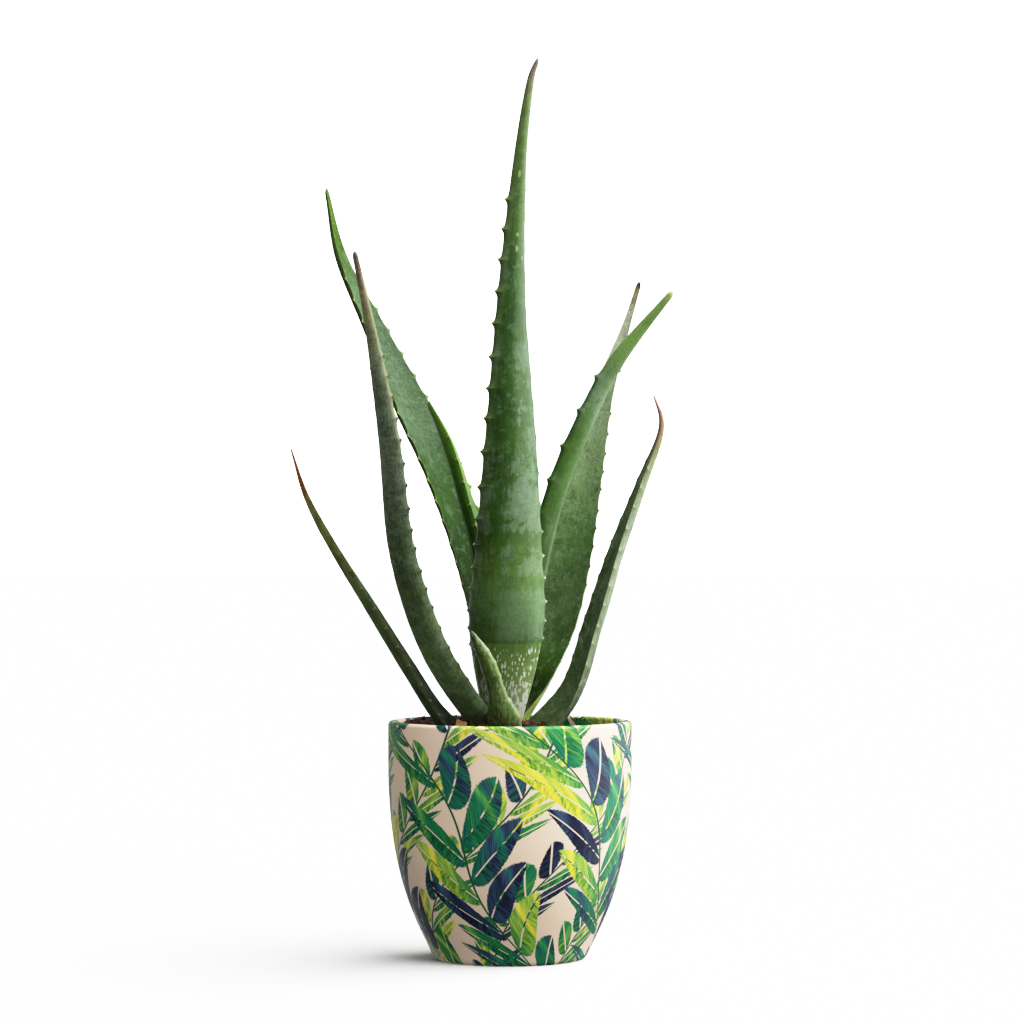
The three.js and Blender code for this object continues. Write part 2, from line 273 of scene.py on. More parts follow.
def sprigs(tree, around, up, columns, lean, pitch, leaflet, seed):
    """One layer of the print: leaning stems, with a pair of rows of leaflets each.

    around and up are in millimetres. Returns how much of the layer covers a point, a random number for its
    leaflet, the place along the leaflet and across it, and how far the point is from the stem.
    """
    length, half_width, printed = leaflet
    column_width = POT_GIRTH / columns
    sway = calc(tree, "MULTIPLY", calc(tree, "SINE", calc(tree, "MULTIPLY", up, 0.045)), 0.13)
    across = calc(tree, "DIVIDE", around, column_width)
    across = calc(tree, "ADD", across, calc(tree, "MULTIPLY", up, lean))
    across = calc(tree, "ADD", across, sway)
    column = calc(tree, "FLOORED_MODULO", calc(tree, "FLOOR", across), columns)
    offset = calc(tree, "SUBTRACT", calc(tree, "FRACT", across), 0.5)
    offset = calc(tree, "MULTIPLY", offset, column_width)
    side = calc(tree, "GREATER_THAN", offset, 0)
    reach = calc(tree, "ABSOLUTE", offset)

    shift = tree.nodes.new("ShaderNodeTexWhiteNoise")
    shift.noise_dimensions = "2D"
    feed(tree, vector(tree, column, seed), shift.inputs["Vector"])
    climb = calc(tree, "ADD", up, calc(tree, "MULTIPLY", shift.outputs["Value"], pitch))
    climb = calc(tree, "ADD", climb, calc(tree, "MULTIPLY", side, pitch / 2))
    climb = calc(tree, "SUBTRACT", climb, calc(tree, "MULTIPLY", reach, 1 / math.tan(LEAFLET_ANGLE)))
    climb = calc(tree, "DIVIDE", climb, pitch)
    along = calc(tree, "DIVIDE", reach, math.sin(LEAFLET_ANGLE))
    aside = calc(tree, "SUBTRACT", calc(tree, "FRACT", climb), 0.5)
    aside = calc(tree, "MULTIPLY", aside, pitch * math.sin(LEAFLET_ANGLE))

    draw = tree.nodes.new("ShaderNodeTexWhiteNoise")
    draw.noise_dimensions = "3D"
    row = calc(tree, "ADD", calc(tree, "FLOOR", climb), calc(tree, "MULTIPLY", side, 57.0))
    feed(tree, vector(tree, column, row, seed), draw.inputs["Vector"])
    chance = parts_of(tree, draw.outputs["Color"])
    own_length = calc(tree, "MULTIPLY", ease(tree, chance[0], 0, 1, 0.72, 1.0), length)
    share = calc(tree, "DIVIDE", along, own_length)
    share = calc(tree, "MINIMUM", share, 1.0)
    swell = calc(tree, "SINE", calc(tree, "MULTIPLY", calc(tree, "POWER", share, 0.8), math.pi))
    swell = calc(tree, "POWER", calc(tree, "MAXIMUM", swell, 0.0), 0.75)
    inside = calc(tree, "MULTIPLY", swell, half_width)
    inside = calc(tree, "SUBTRACT", inside, calc(tree, "ABSOLUTE", aside))
    frayed = cloud(tree, vector(tree, calc(tree, "MULTIPLY", along, 1.4), aside, seed), 1.0, 2)
    inside = calc(tree, "ADD", inside, calc(tree, "MULTIPLY_ADD", frayed, 2.4, -1.2))
    cover = ease(tree, inside, 0.0, 0.25)
    cover = calc(tree, "MULTIPLY", cover, calc(tree, "LESS_THAN", chance[1], printed))
    return cover, chance[2], along, aside, reach


def sprig_colour(tree, ground, layer, seed):
    """The layer's leaflets over the ground: brushed in fine strokes, with a bare midrib.

    Each leaflet has its own hue, from navy over greens to yellow, which drifts along it.
    """
    cover, draw, along, aside, reach = layer
    drift = cloud(tree, vector(tree, calc(tree, "MULTIPLY", along, 0.07), draw, seed), 1.0, 2)
    hue = calc(tree, "MULTIPLY_ADD", draw, 0.86, calc(tree, "MULTIPLY_ADD", drift, 1.3, -0.6))
    stroke = calc(tree, "ADD", along, calc(tree, "MULTIPLY", calc(tree, "ABSOLUTE", aside), -0.9))
    brushed = cloud(tree, vector(tree, stroke, calc(tree, "MULTIPLY", aside, 0.12), seed), 0.85, 3.0, 0.7)
    hue = calc(tree, "MULTIPLY_ADD", brushed, 0.3, calc(tree, "SUBTRACT", hue, 0.15))
    half = calc(tree, "MULTIPLY", calc(tree, "GREATER_THAN", aside, 0.0), 0.3)
    tone = calc(tree, "MULTIPLY_ADD", ease(tree, brushed, 0.4, 0.6), 0.7, half)
    leaflets = mixed(tree, tone, ramp(tree, hue, SHADED_PRINT), ramp(tree, hue, BRIGHT_PRINT))
    rib = ease(tree, calc(tree, "ABSOLUTE", aside), 0.28, 0.5)
    stem = ease(tree, reach, 0.9, 0.55)
    drawn = mixed(tree, calc(tree, "MULTIPLY", cover, rib), ground, leaflets)
    return mixed(tree, stem, drawn, STEM_PRINT)


def printed_glaze():
    """Satin cream glaze with two layers of sprigs."""
    material, tree, shader = new_material("printed_glaze")
    wrap = tree.nodes.new("ShaderNodeUVMap")
    wrap.uv_map = "wrap"
    turn, rise, _ = parts_of(tree, wrap.outputs[0])
    around = calc(tree, "MULTIPLY", turn, POT_GIRTH)
    up = calc(tree, "MULTIPLY", rise, 100.0)
    place = object_place(tree)
    cream = mixed(tree, cloud(tree, place, 45, 3), *CREAM)
    fine = sprigs(tree, around, up, **FINE_SPRIGS)
    bold = sprigs(tree, around, up, **BOLD_SPRIGS)
    colour = sprig_colour(tree, cream, fine, 11.0)
    colour = sprig_colour(tree, colour, bold, 23.0)
    feed(tree, colour, shader.inputs["Base Color"])
    feed(tree, ease(tree, cloud(tree, place, 60, 4), 0.3, 0.7, 0.36, 0.46), shader.inputs["Roughness"])
    shader.inputs["Specular IOR Level"].default_value = 0.22
    shader.inputs["Coat Weight"].default_value = 0.04
    shader.inputs["Coat Roughness"].default_value = 0.3
    relief = cloud(tree, place, 320, 3)
    feed(tree, raised(tree, relief, 0.06, 0.0004), shader.inputs["Normal"])
    return material


def hand_over(piece, name, material, slot, *nodes):
    """Names a finished piece, gives it its material, and sets it in the frame for its CAD nodes."""
    piece.name = name
    piece.data.name = name
    piece.data.materials.clear()
    piece.data.materials.append(material)
    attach(piece, "root")
    if nodes:
        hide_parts(*nodes)


profile = pot_profile()
pot = turned_pot(profile)
wrap_map(pot, profile)
hand_over(pot, "printed_pot", printed_glaze(), "pot", "pot")


# The soil: moist peat mix, filled to a finger's breadth under the rim and heaped at the back left.
# It is one body that fills the pot, rough with crumbs of its own stuff, some of them loose on top.
SOIL_EDGE = 127
SOIL_MOUND = 9
SOIL_MOUND_SPREAD = 30
SOIL_HEAP = 7.5
SOIL_HEAP_AT = (-48, 32)
SOIL_HEAP_SPREAD = 26
SOIL_LUMP = 0.9
SOIL_RADIUS = 64.9
SOIL_CELLS = 150
# The skirt's steps: how far down each goes, and how much narrower it gets.
SOIL_SKIRT = ((14, 0.993), (26, 0.965), (34, 0.9))
STEM_AT = (-2, -3)


def bump(x, y, height, centre, spread):
    away = (x - centre[0]) ** 2 + (y - centre[1]) ** 2
    return height * math.exp(-away / (2 * spread**2))


def soil_top(x, y):
    """The height of the soil's surface in millimetres, without its crumbs."""
    waves = math.sin(0.41 * x + 1.3) * math.sin(0.37 * y - 0.6) + 0.6 * math.sin(0.83 * x - 0.71 * y)
    mound = bump(x, y, SOIL_MOUND, STEM_AT, SOIL_MOUND_SPREAD)
    heap = bump(x, y, SOIL_HEAP, SOIL_HEAP_AT, SOIL_HEAP_SPREAD)
    return SOIL_EDGE + mound + heap + SOIL_LUMP * waves


def crumbly(x, y):
    """The crumbs of the surface: steep little lumps of two sizes."""
    coarse = abs(noise.noise(Vector((x * 0.28, y * 0.28, 3.1))))
    fine = abs(noise.noise(Vector((x * 0.75, y * 0.75, 9.7))))
    return 2.2 * coarse + 1.1 * fine - 1.0


def soil_body():
    """A fine grid drawn into a disc and raised into the surface, with a skirt down to the pot's curve."""
    bpy.ops.object.select_all(action="DESELECT")
    bpy.ops.mesh.primitive_grid_add(x_subdivisions=SOIL_CELLS, y_subdivisions=SOIL_CELLS, size=2)
    soil = bpy.context.object
    for vertex in soil.data.vertices:
        u, v = vertex.co.x, vertex.co.y
        x = SOIL_RADIUS * u * math.sqrt(1 - v * v / 2)
        y = SOIL_RADIUS * v * math.sqrt(1 - u * u / 2)
        rim = min(1.0, (SOIL_RADIUS - math.hypot(x, y)) / 3)
        vertex.co = Vector((x, y, soil_top(x, y) + rim * crumbly(x, y))) * MM
    bpy.ops.object.mode_set(mode="EDIT")
    bpy.ops.mesh.select_all(action="DESELECT")
    bpy.ops.mesh.select_non_manifold()
    for drop, spread in SOIL_SKIRT:
        bpy.ops.mesh.extrude_region_move(TRANSFORM_OT_translate={"value": (0, 0, -drop * MM)})
        bpy.ops.transform.resize(value=(spread, spread, 1), center_override=(0, 0, 0))
    bpy.ops.mesh.edge_face_add()
    bpy.ops.mesh.select_all(action="SELECT")
    bpy.ops.mesh.normals_make_consistent(inside=False)
    bpy.ops.object.mode_set(mode="OBJECT")
    bpy.ops.object.shade_smooth()
    return soil


def potting_mix(name, dark, light):
    """Matt fibrous soil between two browns."""
    material, tree, shader = new_material(name)
    place = object_place(tree)
    patches = cloud(tree, place, 160, 6, 0.65)
    fibres = cloud(tree, place, 900, 4, 0.7)
    pale_fibres = ease(tree, fibres, 0.3, 0.75, 0.35, 1.0)
    share = calc(tree, "MULTIPLY", ease(tree, patches, 0.36, 0.66), pale_fibres)
    feed(tree, mixed(tree, share, dark, light), shader.inputs["Base Color"])
    shader.inputs["Roughness"].default_value = 0.92
    shader.inputs["Specular IOR Level"].default_value = 0.25
    feed(tree, raised(tree, fibres, 0.9, 0.0008), shader.inputs["Normal"])
    return material


dark_soil = potting_mix("dark_soil", paint(30, 21, 17), paint(88, 64, 50))
hand_over(soil_body(), "soil_surface", dark_soil, "soil", "soil")

# Loose crumbs: a few lumps are shaped once and copied over the surface, each turned and sized its own way.
# Dark ones lie all over the soil, and redder crumbs of bark on the mound round the plant.
CRUMBS = 620
CRUMB_SHAPES = 4
CRUMB_SIZES = (0.7, 2.1)
BARK_CRUMBS = 150
BARK_CRUMB_SHAPES = 3
BARK_CRUMB_SIZES = (0.8, 2.4)
BARK_RING_RADIUS = 12
BARK_RING_WIDTH = 20
SUNK_IN = 0.25


def lump(seed):
    """One crumb, a few millimetres across, standing at the origin."""
    bpy.ops.object.select_all(action="DESELECT")
    bpy.ops.mesh.primitive_ico_sphere_add(subdivisions=2, radius=MM)
    crumb = bpy.context.object
    for vertex in crumb.data.vertices:
        push = 1 + 0.55 * noise.noise(vertex.co / MM * 1.3 + Vector((seed, 0, 0)))
        vertex.co *= push
    return crumb


def scattered(shapes, count, seed, sizes, lies_at):
    """Copies of the shapes over the soil, joined into one piece. lies_at gives a place in millimetres."""
    chance = random.Random(seed)
    copies = []
    for index in range(count):
        copy = shapes[index % len(shapes)].copy()
        copy.data = copy.data.copy()
        bpy.context.collection.objects.link(copy)
        size = chance.uniform(*sizes) * chance.uniform(0.6, 1)
        copy.scale = [size * chance.uniform(0.65, 1.3) for _ in range(3)]
        copy.rotation_euler = [chance.uniform(0, 2 * math.pi) for _ in range(3)]
        copy.location = Vector(lies_at(chance, size)) * MM
        copies.append(copy)
    for shape in shapes:
        bpy.data.objects.remove(shape)
    bpy.ops.object.select_all(action="DESELECT")
    for copy in copies:
        copy.select_set(True)
    bpy.context.view_layer.objects.active = copies[0]
    bpy.ops.object.join()
    bpy.ops.object.transform_apply(location=True, rotation=True, scale=True)
    bpy.ops.object.shade_smooth()
    return bpy.context.object


def on_soil(chance, size):
    """A place for a crumb: anywhere inside the wall, sunk a little way in."""
    radius = (SOIL_RADIUS - 4) * math.sqrt(chance.random())
    turn = chance.uniform(0, 2 * math.pi)
    x, y = radius * math.cos(turn), radius * math.sin(turn)
    return x, y, soil_top(x, y) + crumbly(x, y) + SUNK_IN * size


def round_plant(chance, size):
    """A place for a crumb on the mound in front of and beside the leaf bases."""
    radius = BARK_RING_RADIUS + BARK_RING_WIDTH * chance.random()
    turn = chance.uniform(math.radians(170), math.radians(370))
    x, y = STEM_AT[0] + radius * math.cos(turn), STEM_AT[1] + radius * math.sin(turn)
    return x, y, soil_top(x, y) + crumbly(x, y) + SUNK_IN * size


lumps = [lump(seed) for seed in range(CRUMB_SHAPES)]
crumbs = scattered(lumps, CRUMBS, 4, CRUMB_SIZES, on_soil)
hand_over(crumbs, "soil_crumbs", potting_mix("crumbs", paint(42, 29, 23), paint(104, 76, 60)), "soil")
lumps = [lump(seed) for seed in range(BARK_CRUMB_SHAPES)]
red_crumbs = scattered(lumps, BARK_CRUMBS, 9, BARK_CRUMB_SIZES, round_plant)
hand_over(red_crumbs, "bark_crumbs", potting_mix("red_bark", paint(62, 38, 30), paint(140, 92, 72)), "soil")

# A chip of pale bark leans in the soil at the front left, with a bit of twig beside it.
# Sizes and places are in millimetres, and turns in degrees.
CHIP = {"size": (6, 10, 1.3), "turn": (66, 14, -12), "at": (-28.5, -34, 133)}
TWIG = {"size": (1, 9, 1), "turn": (24, -30, 20), "at": (-32.5, -38, 131.5)}


def splinter(name, size, turn, at):
    """A flat or thin bit of wood with uneven edges."""
    bpy.ops.object.select_all(action="DESELECT")
    bpy.ops.mesh.primitive_cube_add(size=1)
    bit = bpy.context.object
    bpy.ops.object.mode_set(mode="EDIT")
    bpy.ops.mesh.subdivide(number_cuts=5)
    bpy.ops.object.mode_set(mode="OBJECT")
    for vertex in bit.data.vertices:
        shape = Vector(part * length for part, length in zip(vertex.co, size))
        shape += 0.5 * min(size) * noise.noise_vector(shape * 0.5)
        vertex.co = shape * MM
    bit.rotation_euler = [math.radians(degrees) for degrees in turn]
    bit.location = Vector(at) * MM
    bpy.ops.object.transform_apply(location=True, rotation=True, scale=True)
    bpy.ops.object.shade_smooth_by_angle(angle=SHARP_EDGE)
    hand_over(bit, name, potting_mix(name, paint(150, 108, 76), paint(204, 164, 124)), "soil")


splinter("bark_chip", **CHIP)
splinter("twig", **TWIG)


# The stem and roots: short, thick and fibrous, hidden by the leaf bases and the soil.
# The frame's own solid has the right shape, so it only gets its finish.
def root_bark():
    material, tree, shader = new_material("root_bark")
    place = object_place(tree)
    grain = cloud(tree, place, 300, 5, 0.6)
    feed(tree, mixed(tree, grain, paint(150, 142, 100), paint(186, 180, 138)), shader.inputs["Base Color"])
    shader.inputs["Roughness"].default_value = 0.75
    feed(tree, raised(tree, grain, 0.5, 0.0006), shader.inputs["Normal"])
    return material


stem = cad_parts["stem_and_roots"]
stem.data.materials.clear()
stem.data.materials.append(root_bark())


# The leaves: thick, stiff and full of clear gel under a smooth waxy skin, each wrapped round the stem.
# The outer face is rounded and the inner one a shallow gutter, and small hooked teeth stand along both
# margins, which swell a little at each. A bloom of grey wax lies on the skin, and is left off along a
# streak of painted shade down the tall front leaf, which shows darker there.
TIP_ROUND = 4
TEETH_START = 0.13
TOOTH_ROOT_SIDE = 3.2
TOOTH_TIP_SIDE = 2.2
TOOTH_FULL_PITCH_AT = 0.35
MARGIN_SWELL = 0.32
SWELL_REACH = 3.6
GUTTER_SHARE = 0.1
SKIN_WAVE = 0.4
RING_STEP = 2.2
CLOSEST_RINGS = 0.18
# The places round a section, in degrees from one margin over the outer face to the other, and across
# the inner face from that margin back. They are close at the margins, where the teeth are.
OUTER_TURNS = (0, 3, 8, 15, 25, 37, 50, 63, 77, 90, 103, 117, 130, 143, 155, 165, 172, 177, 180)
INNER_SHARES = (-0.985, -0.93, -0.82, -0.66, -0.45, -0.22, 0, 0.22, 0.45, 0.66, 0.82, 0.93, 0.985)

# Each leaf's sections stand from root to tip: x, y, z and the width in millimetres, then the direction
# in degrees that the inner face looks to. pitch is the spacing of the teeth near the root and further
# up, tooth their height, bare_tip how much of the tip has none, and seed sets their unevenness.
LEAVES = {
    "leaf_inner_right": {
        "sections": [
            (0, -2, 140, 15, 145),
            (5, -1, 172, 17, 142),
            (12, -3, 212, 16.4, 139),
            (24, -8, 263, 15, 137),
            (40, -12, 304, 13, 134),
            (60, -16, 342, 10, 131),
            (93, -20, 382.5, 4, 128),
        ],
        "thickness": 0.95,
        "pitch": (19, 21),
        "tooth": 2.1,
        "bare_tip": 60,
        "seed": 1,
    },
    "leaf_inner_left": {
        "sections": [
            (-3, 0, 140, 14, -24),
            (-6.5, 7, 182, 16.5, -19),
            (-14.8, 17, 236, 16.5, -14),
            (-22.5, 21, 264, 14, -10),
            (-33.2, 24, 297, 10, -6),
            (-47, 25, 322, 4, -4),
        ],
        "thickness": 1.2,
        "pitch": (10, 14),
        "tooth": 1.2,
        "bare_tip": 18,
        "seed": 2,
    },
    "leaf_tall_front": {
        "sections": [
            (-4.5, -7, 128, 20, 88),
            (-2.8, -18.5, 171, 37, 90),
            (-1.8, -23.5, 200, 43, 96),
            (-0.9, -27, 234, 39, 108),
            (-0.5, -28, 297, 34.5, 128),
            (0, -27, 377, 19.6, 133),
            (4.5, -22, 451, 9.4, 134),
            (10.8, -16, 500, 5.2, 134),
            (16, -12, 517, 2.6, 134),
        ],
        "thickness": 1,
        "pitch": (5, 18.5),
        "tooth": 2.4,
        "bare_tip": 74,
        "seed": 10,
    },
    "leaf_back_left": {
        "sections": [
            (-2, 3, 134, 18, -60),
            (-9, 20, 184, 24, -58),
            (-22.5, 38, 236, 25.5, -54),
            (-39, 54, 282, 26.5, -50),
            (-59, 67, 324, 25.5, -45),
            (-79.5, 79, 367, 18, -38),
            (-100.5, 89, 412, 10, -28),
            (-111, 97, 454, 3.4, -25),
        ],
        "thickness": 1,
        "pitch": (7.5, 15),
        "tooth": 2.3,
        "bare_tip": 56,
        "seed": 4,
    },
    "leaf_back_right": {
        "sections": [
            (0, 2, 130, 20, -162),
            (12, 14, 160, 25, -121),
            (25, 28, 194, 30, -116),
            (34, 38, 232, 29, -115),
            (43, 46, 276, 23, -114),
            (54, 52, 324, 13.6, -112),
            (68, 56, 365, 5.4, -111),
            (77, 58, 394, 3, -110),
        ],
        "thickness": 0.85,
        "pitch": (10, 12),
        "tooth": 1.3,
        "bare_tip": 78,
        "seed": 5,
    },
    "leaf_front_left": {
        "sections": [
            (-4, -6, 126, 17, 45),
            (-24, -20, 150, 19, 47),
            (-44, -34, 184, 19, 49),
            (-60, -48, 235, 17, 52),
            (-67, -56, 296, 13, 56),
            (-77, -59, 355, 6.8, 59),
            (-87, -58, 402, 3.2, 62),
        ],
        "thickness": 1.1,
        "pitch": (11, 12),
        "tooth": 1.4,
        "bare_tip": 60,
        "seed": 6,
    },
    "leaf_low_right": {
        "sections": [
            (1, -5, 118, 19, 208),
            (31, -12, 151, 20, 206),
            (46, -6, 193, 18, 205),
            (59.5, -1, 235, 15.2, 201),
            (74, 4, 273, 10.2, 196),
            (86.5, 7, 305, 5.4, 193),
            (83, 8, 325, 1.6, 192),
        ],
        "thickness": 1,
        "pitch": (9, 12),
        "tooth": 1.1,
        "bare_tip": 40,
        "seed": 7,
    },
    "leaf_low_left": {
        "sections": [
            (-5, -5, 116, 17, -6),
            (-34, -14, 137, 18.5, -3),
            (-55.2, -21, 169, 18, 0),
            (-76.2, -27, 203, 15.6, 2),
            (-96.3, -31, 235, 11.6, 4),
            (-113.6, -33, 265, 6.6, 5),
            (-124, -34, 293, 1.8, 6),
        ],
        "thickness": 0.95,
        "pitch": (9, 12),
        "tooth": 1.1,
        "bare_tip": 36,
        "seed": 8,
    },
    "leaf_pup_front": {
        "sections": [
            (-2, -9, 118, 17, 62),
            (-2.6, -27, 138, 22, 60),
            (-6.6, -34.5, 153, 11.5, 57),
            (-11, -38, 168, 10, 54),
            (-15.8, -39, 178.5, 7.4, 52),
            (-22.5, -39, 189.5, 3, 50),
        ],
        "thickness": 1,
        "pitch": (7, 8),
        "tooth": 0.4,
        "bare_tip": 10,
        "seed": 9,
    },
}


def spine_point(points, t):
    """A point on a Catmull-Rom curve through the points, with t from 0 to 1, and its direction there."""
    place = t * (len(points) - 1)
    index = min(int(place), len(points) - 2)
    part = place - index
    start, end = points[index], points[index + 1]
    before = points[index - 1] if index else start * 2 - end
    after = points[index + 2] if index + 2 < len(points) else end * 2 - start
    leave, arrive = (end - before) / 2, (after - start) / 2
    square, cube = part**2, part**3
    point = start * (2 * cube - 3 * square + 1) + end * (3 * square - 2 * cube)
    point += leave * (cube - 2 * square + part) + arrive * (cube - square)
    along = start * (6 * square - 6 * part) + end * (6 * part - 6 * square)
    along += leave * (3 * square - 4 * part + 1) + arrive * (3 * square - 2 * part)
    return point, along.normalized()


def smooth_value(values, t):
    """The value at t, on a Catmull-Rom curve whose ends are held."""
    place = t * (len(values) - 1)
    index = min(int(place), len(values) - 2)
    part = place - index
    start, end = values[index], values[index + 1]
    leave = (end - values[max(index - 1, 0)]) / 2
    arrive = (values[min(index + 2, len(values) - 1)] - start) / 2
    square, cube = part**2, part**3
    hermite = start * (2 * cube - 3 * square + 1) + end * (3 * square - 2 * cube)
    return hermite + leave * (cube - 2 * square + part) + arrive * (cube - square)


def length_table(points, steps=800):
    """The length of the spine up to each step."""
    table = [0.0]
    last = points[0]
    for step in range(1, steps + 1):
        point, _ = spine_point(points, step / steps)
        table.append(table[-1] + (point - last).length)
        last = point
    return table


def t_at(table, length):
    """Where on the curve a length is reached."""
    low, high = 0, len(table) - 1
    while high - low > 1:
        middle = (low + high) // 2
        if table[middle] <= length:
            low = middle
        else:
            high = middle
    share = (length - table[low]) / max(table[high] - table[low], 1e-9)
    return (low + min(max(share, 0), 1)) / (len(table) - 1)


def lerp(low, high, share):
    return low + (high - low) * share


def pitch_at(leaf, share):
    return lerp(*leaf["pitch"], min(1, share / TOOTH_FULL_PITCH_AT))


def tooth_places(leaf, length):
    """Where the teeth stand along one margin, from the root, with a little unevenness."""
    state = leaf["seed"]
    places = []
    at = length * TEETH_START + 3
    while at < length - leaf["bare_tip"]:
        places.append(at)
        state = (state * 1664525 + 1013904223) % 4294967296
        at += pitch_at(leaf, at / length) * (0.88 + 0.24 * state / 4294967296)
    return places


def tooth_at(places, at, length, height):
    """How far a tooth stands out at a place along the margin, and how far the margin swells round it."""
    stand, swell = 0.0, 0.0
    for place in places:
        ahead = at - place
        size = height * min(1, 0.1 + 2.2 * place / length)
        swell += MARGIN_SWELL * size * math.exp(-((ahead / SWELL_REACH) ** 2))
        if -TOOTH_ROOT_SIDE < ahead <= 0:
            stand = size * (1 + ahead / TOOTH_ROOT_SIDE) ** 2
        if 0 < ahead < TOOTH_TIP_SIDE:
            stand = size * (1 - ahead / TOOTH_TIP_SIDE) ** 1.6
    return stand, swell


def ring_places(length, teeth):
    """Where the rings stand: evenly along the leaf, closer through each tooth and round the tip."""
    places = [step * RING_STEP for step in range(int(length / RING_STEP))]
    for place in teeth:
        places += [place + part for part in (-3.2, -2.2, -1.5, -0.9, -0.4, 0, 0.3, 0.7, 1.3, 2.2)]
    places = sorted(place for place in places if 0 <= place < length - TIP_ROUND)
    kept = [0.0]
    for place in places:
        if place - kept[-1] > CLOSEST_RINGS:
            kept.append(place)
    return kept + [length - TIP_ROUND * left for left in (1, 0.75, 0.5, 0.3, 0.15, 0.05, 0.01)]


def section(leaf, width):
    """The leaf's section: (across, outwards, is it the inner face) from one margin round and back to it."""
    half = width / 2
    depth = leaf["thickness"] * (0.28 * width + min(2.4, 0.25 * width))
    gutter = GUTTER_SHARE * width * min(1, width / 12)
    ring = []
    for degrees in OUTER_TURNS:
        turn = math.radians(degrees)
        ring.append((half * math.cos(turn), -depth * math.sin(turn), 0.0))
    for share in INNER_SHARES:
        ring.append((half * share, -gutter * (1 - share**2), 1.0))
    ring.append((half, 0.0, 0.0))
    return ring


def grown_leaf(leaf):
    """A grid rolled up along the spine. skin holds the way across, along and in from the margin, in mm."""
    points = [Vector(station[:3]) for station in leaf["sections"]]
    widths = [station[3] for station in leaf["sections"]]
    facings = [math.radians(station[4]) for station in leaf["sections"]]
    table = length_table(points)
    length = table[-1]
    left_teeth = tooth_places(leaf, length)
    right_teeth = [place + 0.45 * pitch_at(leaf, place / length) for place in left_teeth]
    rings = ring_places(length, left_teeth + right_teeth)
    around = len(OUTER_TURNS) + len(INNER_SHARES)
    bpy.ops.object.select_all(action="DESELECT")
    bpy.ops.mesh.primitive_grid_add(x_subdivisions=around, y_subdivisions=len(rings) - 1, size=1)
    piece = bpy.context.object
    mesh = piece.data
    for name, kind in (("skin", "FLOAT_VECTOR"), ("inner_face", "FLOAT"), ("tooth", "FLOAT")):
        mesh.attributes.new(name, kind, "POINT")
    skin, face, tooth = (mesh.attributes[name] for name in ("skin", "inner_face", "tooth"))
    for row, at in enumerate(rings):
        t = t_at(table, at)
        centre, along = spine_point(points, t)
        compass = smooth_value(facings, t)
        inward = Vector((math.cos(compass), math.sin(compass), 0))
        inward = (inward - along * inward.dot(along)).normalized()
        across = along.cross(inward)
        rounding = max(0.0, 1 - (length - at) / TIP_ROUND)
        width = smooth_value(widths, t) * math.sqrt(1 - rounding**2)
        left = tooth_at(left_teeth, at, length, leaf["tooth"])
        right = tooth_at(right_teeth, at, length, leaf["tooth"])
        for column, (x, z, inner) in enumerate(section(leaf, width)):
            index = row * (around + 1) + column
            edge = width / 2 - abs(x)
            stand, swell = left if x > 0 else right
            stand *= 1 if edge < 1e-6 else 0.25 if edge < 0.02 * width else 0
            out = stand + swell * (2 * abs(x) / width) ** 5
            wave = SKIN_WAVE * noise.noise(Vector((x * 0.05 + leaf["seed"] * 9, at * 0.035, inner * 4)))
            wave *= min(1, edge / 3) * min(1, width / 20)
            place = centre + across * (x + math.copysign(out, x)) + inward * (z - wave)
            mesh.vertices[index].co = place * MM
            skin.data[index].vector = (x, at, edge)
            face.data[index].value = inner
            tooth.data[index].value = stand / leaf["tooth"]
    bpy.ops.object.select_all(action="DESELECT")
    piece.select_set(True)
    bpy.context.view_layer.objects.active = piece
    bpy.ops.object.mode_set(mode="EDIT")
    bpy.ops.mesh.select_all(action="SELECT")
    bpy.ops.mesh.remove_doubles(threshold=0.00001)
    bpy.ops.mesh.select_all(action="DESELECT")
    bpy.ops.mesh.select_non_manifold()
    bpy.ops.mesh.fill()
    bpy.ops.mesh.select_all(action="SELECT")
    bpy.ops.mesh.normals_make_consistent(inside=False)
    bpy.ops.object.mode_set(mode="OBJECT")
    bpy.ops.object.shade_smooth()
    return piece, length


# What each leaf's skin looks like. Greens are given from the root, 0, to the tip, 1. bloom lists bands of
# wax along the leaf: start, end, how soft their ends are, the share that is covered at the start and at
# the end, and how thick it lies. smear_scale sets how fine its smears are, and haze is a thin even wax under
# it. shade_streak is a streak of painted shade, darker and without wax: its middle and width as shares of
# the half width. mottling and texture are how uneven the green is, in blotches and in its grain. flecks run
# together towards the root end of their zone. ovals are single pale spots: the place across and along, and
# the half width and half length, in mm. margin is how pale the leaf's edge is in its zone, and
# low_tooth_colour is for the teeth near the root.
# FRESH holds what most leaves share.
FRESH = {
    "bloom_colour": paint(132, 152, 126),
    "haze": 0.3,
    "haze_colour": paint(112, 138, 92),
    "shade_streak": None,
    "smear_scale": 90,
    "ovals": [],
    "oval_colour": paint(158, 182, 104),
    "mottling": 0.25,
    "texture": 0.22,
    "flecks": 0.0,
    "fleck_zone": (0.0, 0.15),
    "fleck_colour": paint(196, 208, 160),
    "dirt": 0.25,
    "margin_width": 0.55,
    "margin_zone": (0.1, 0.97),
    "margin_colour": paint(176, 190, 116),
    "low_tooth_colour": paint(232, 234, 206),
    "roughness": 0.34,
    "gloss": 0.5,
    "sheen": 0.1,
}
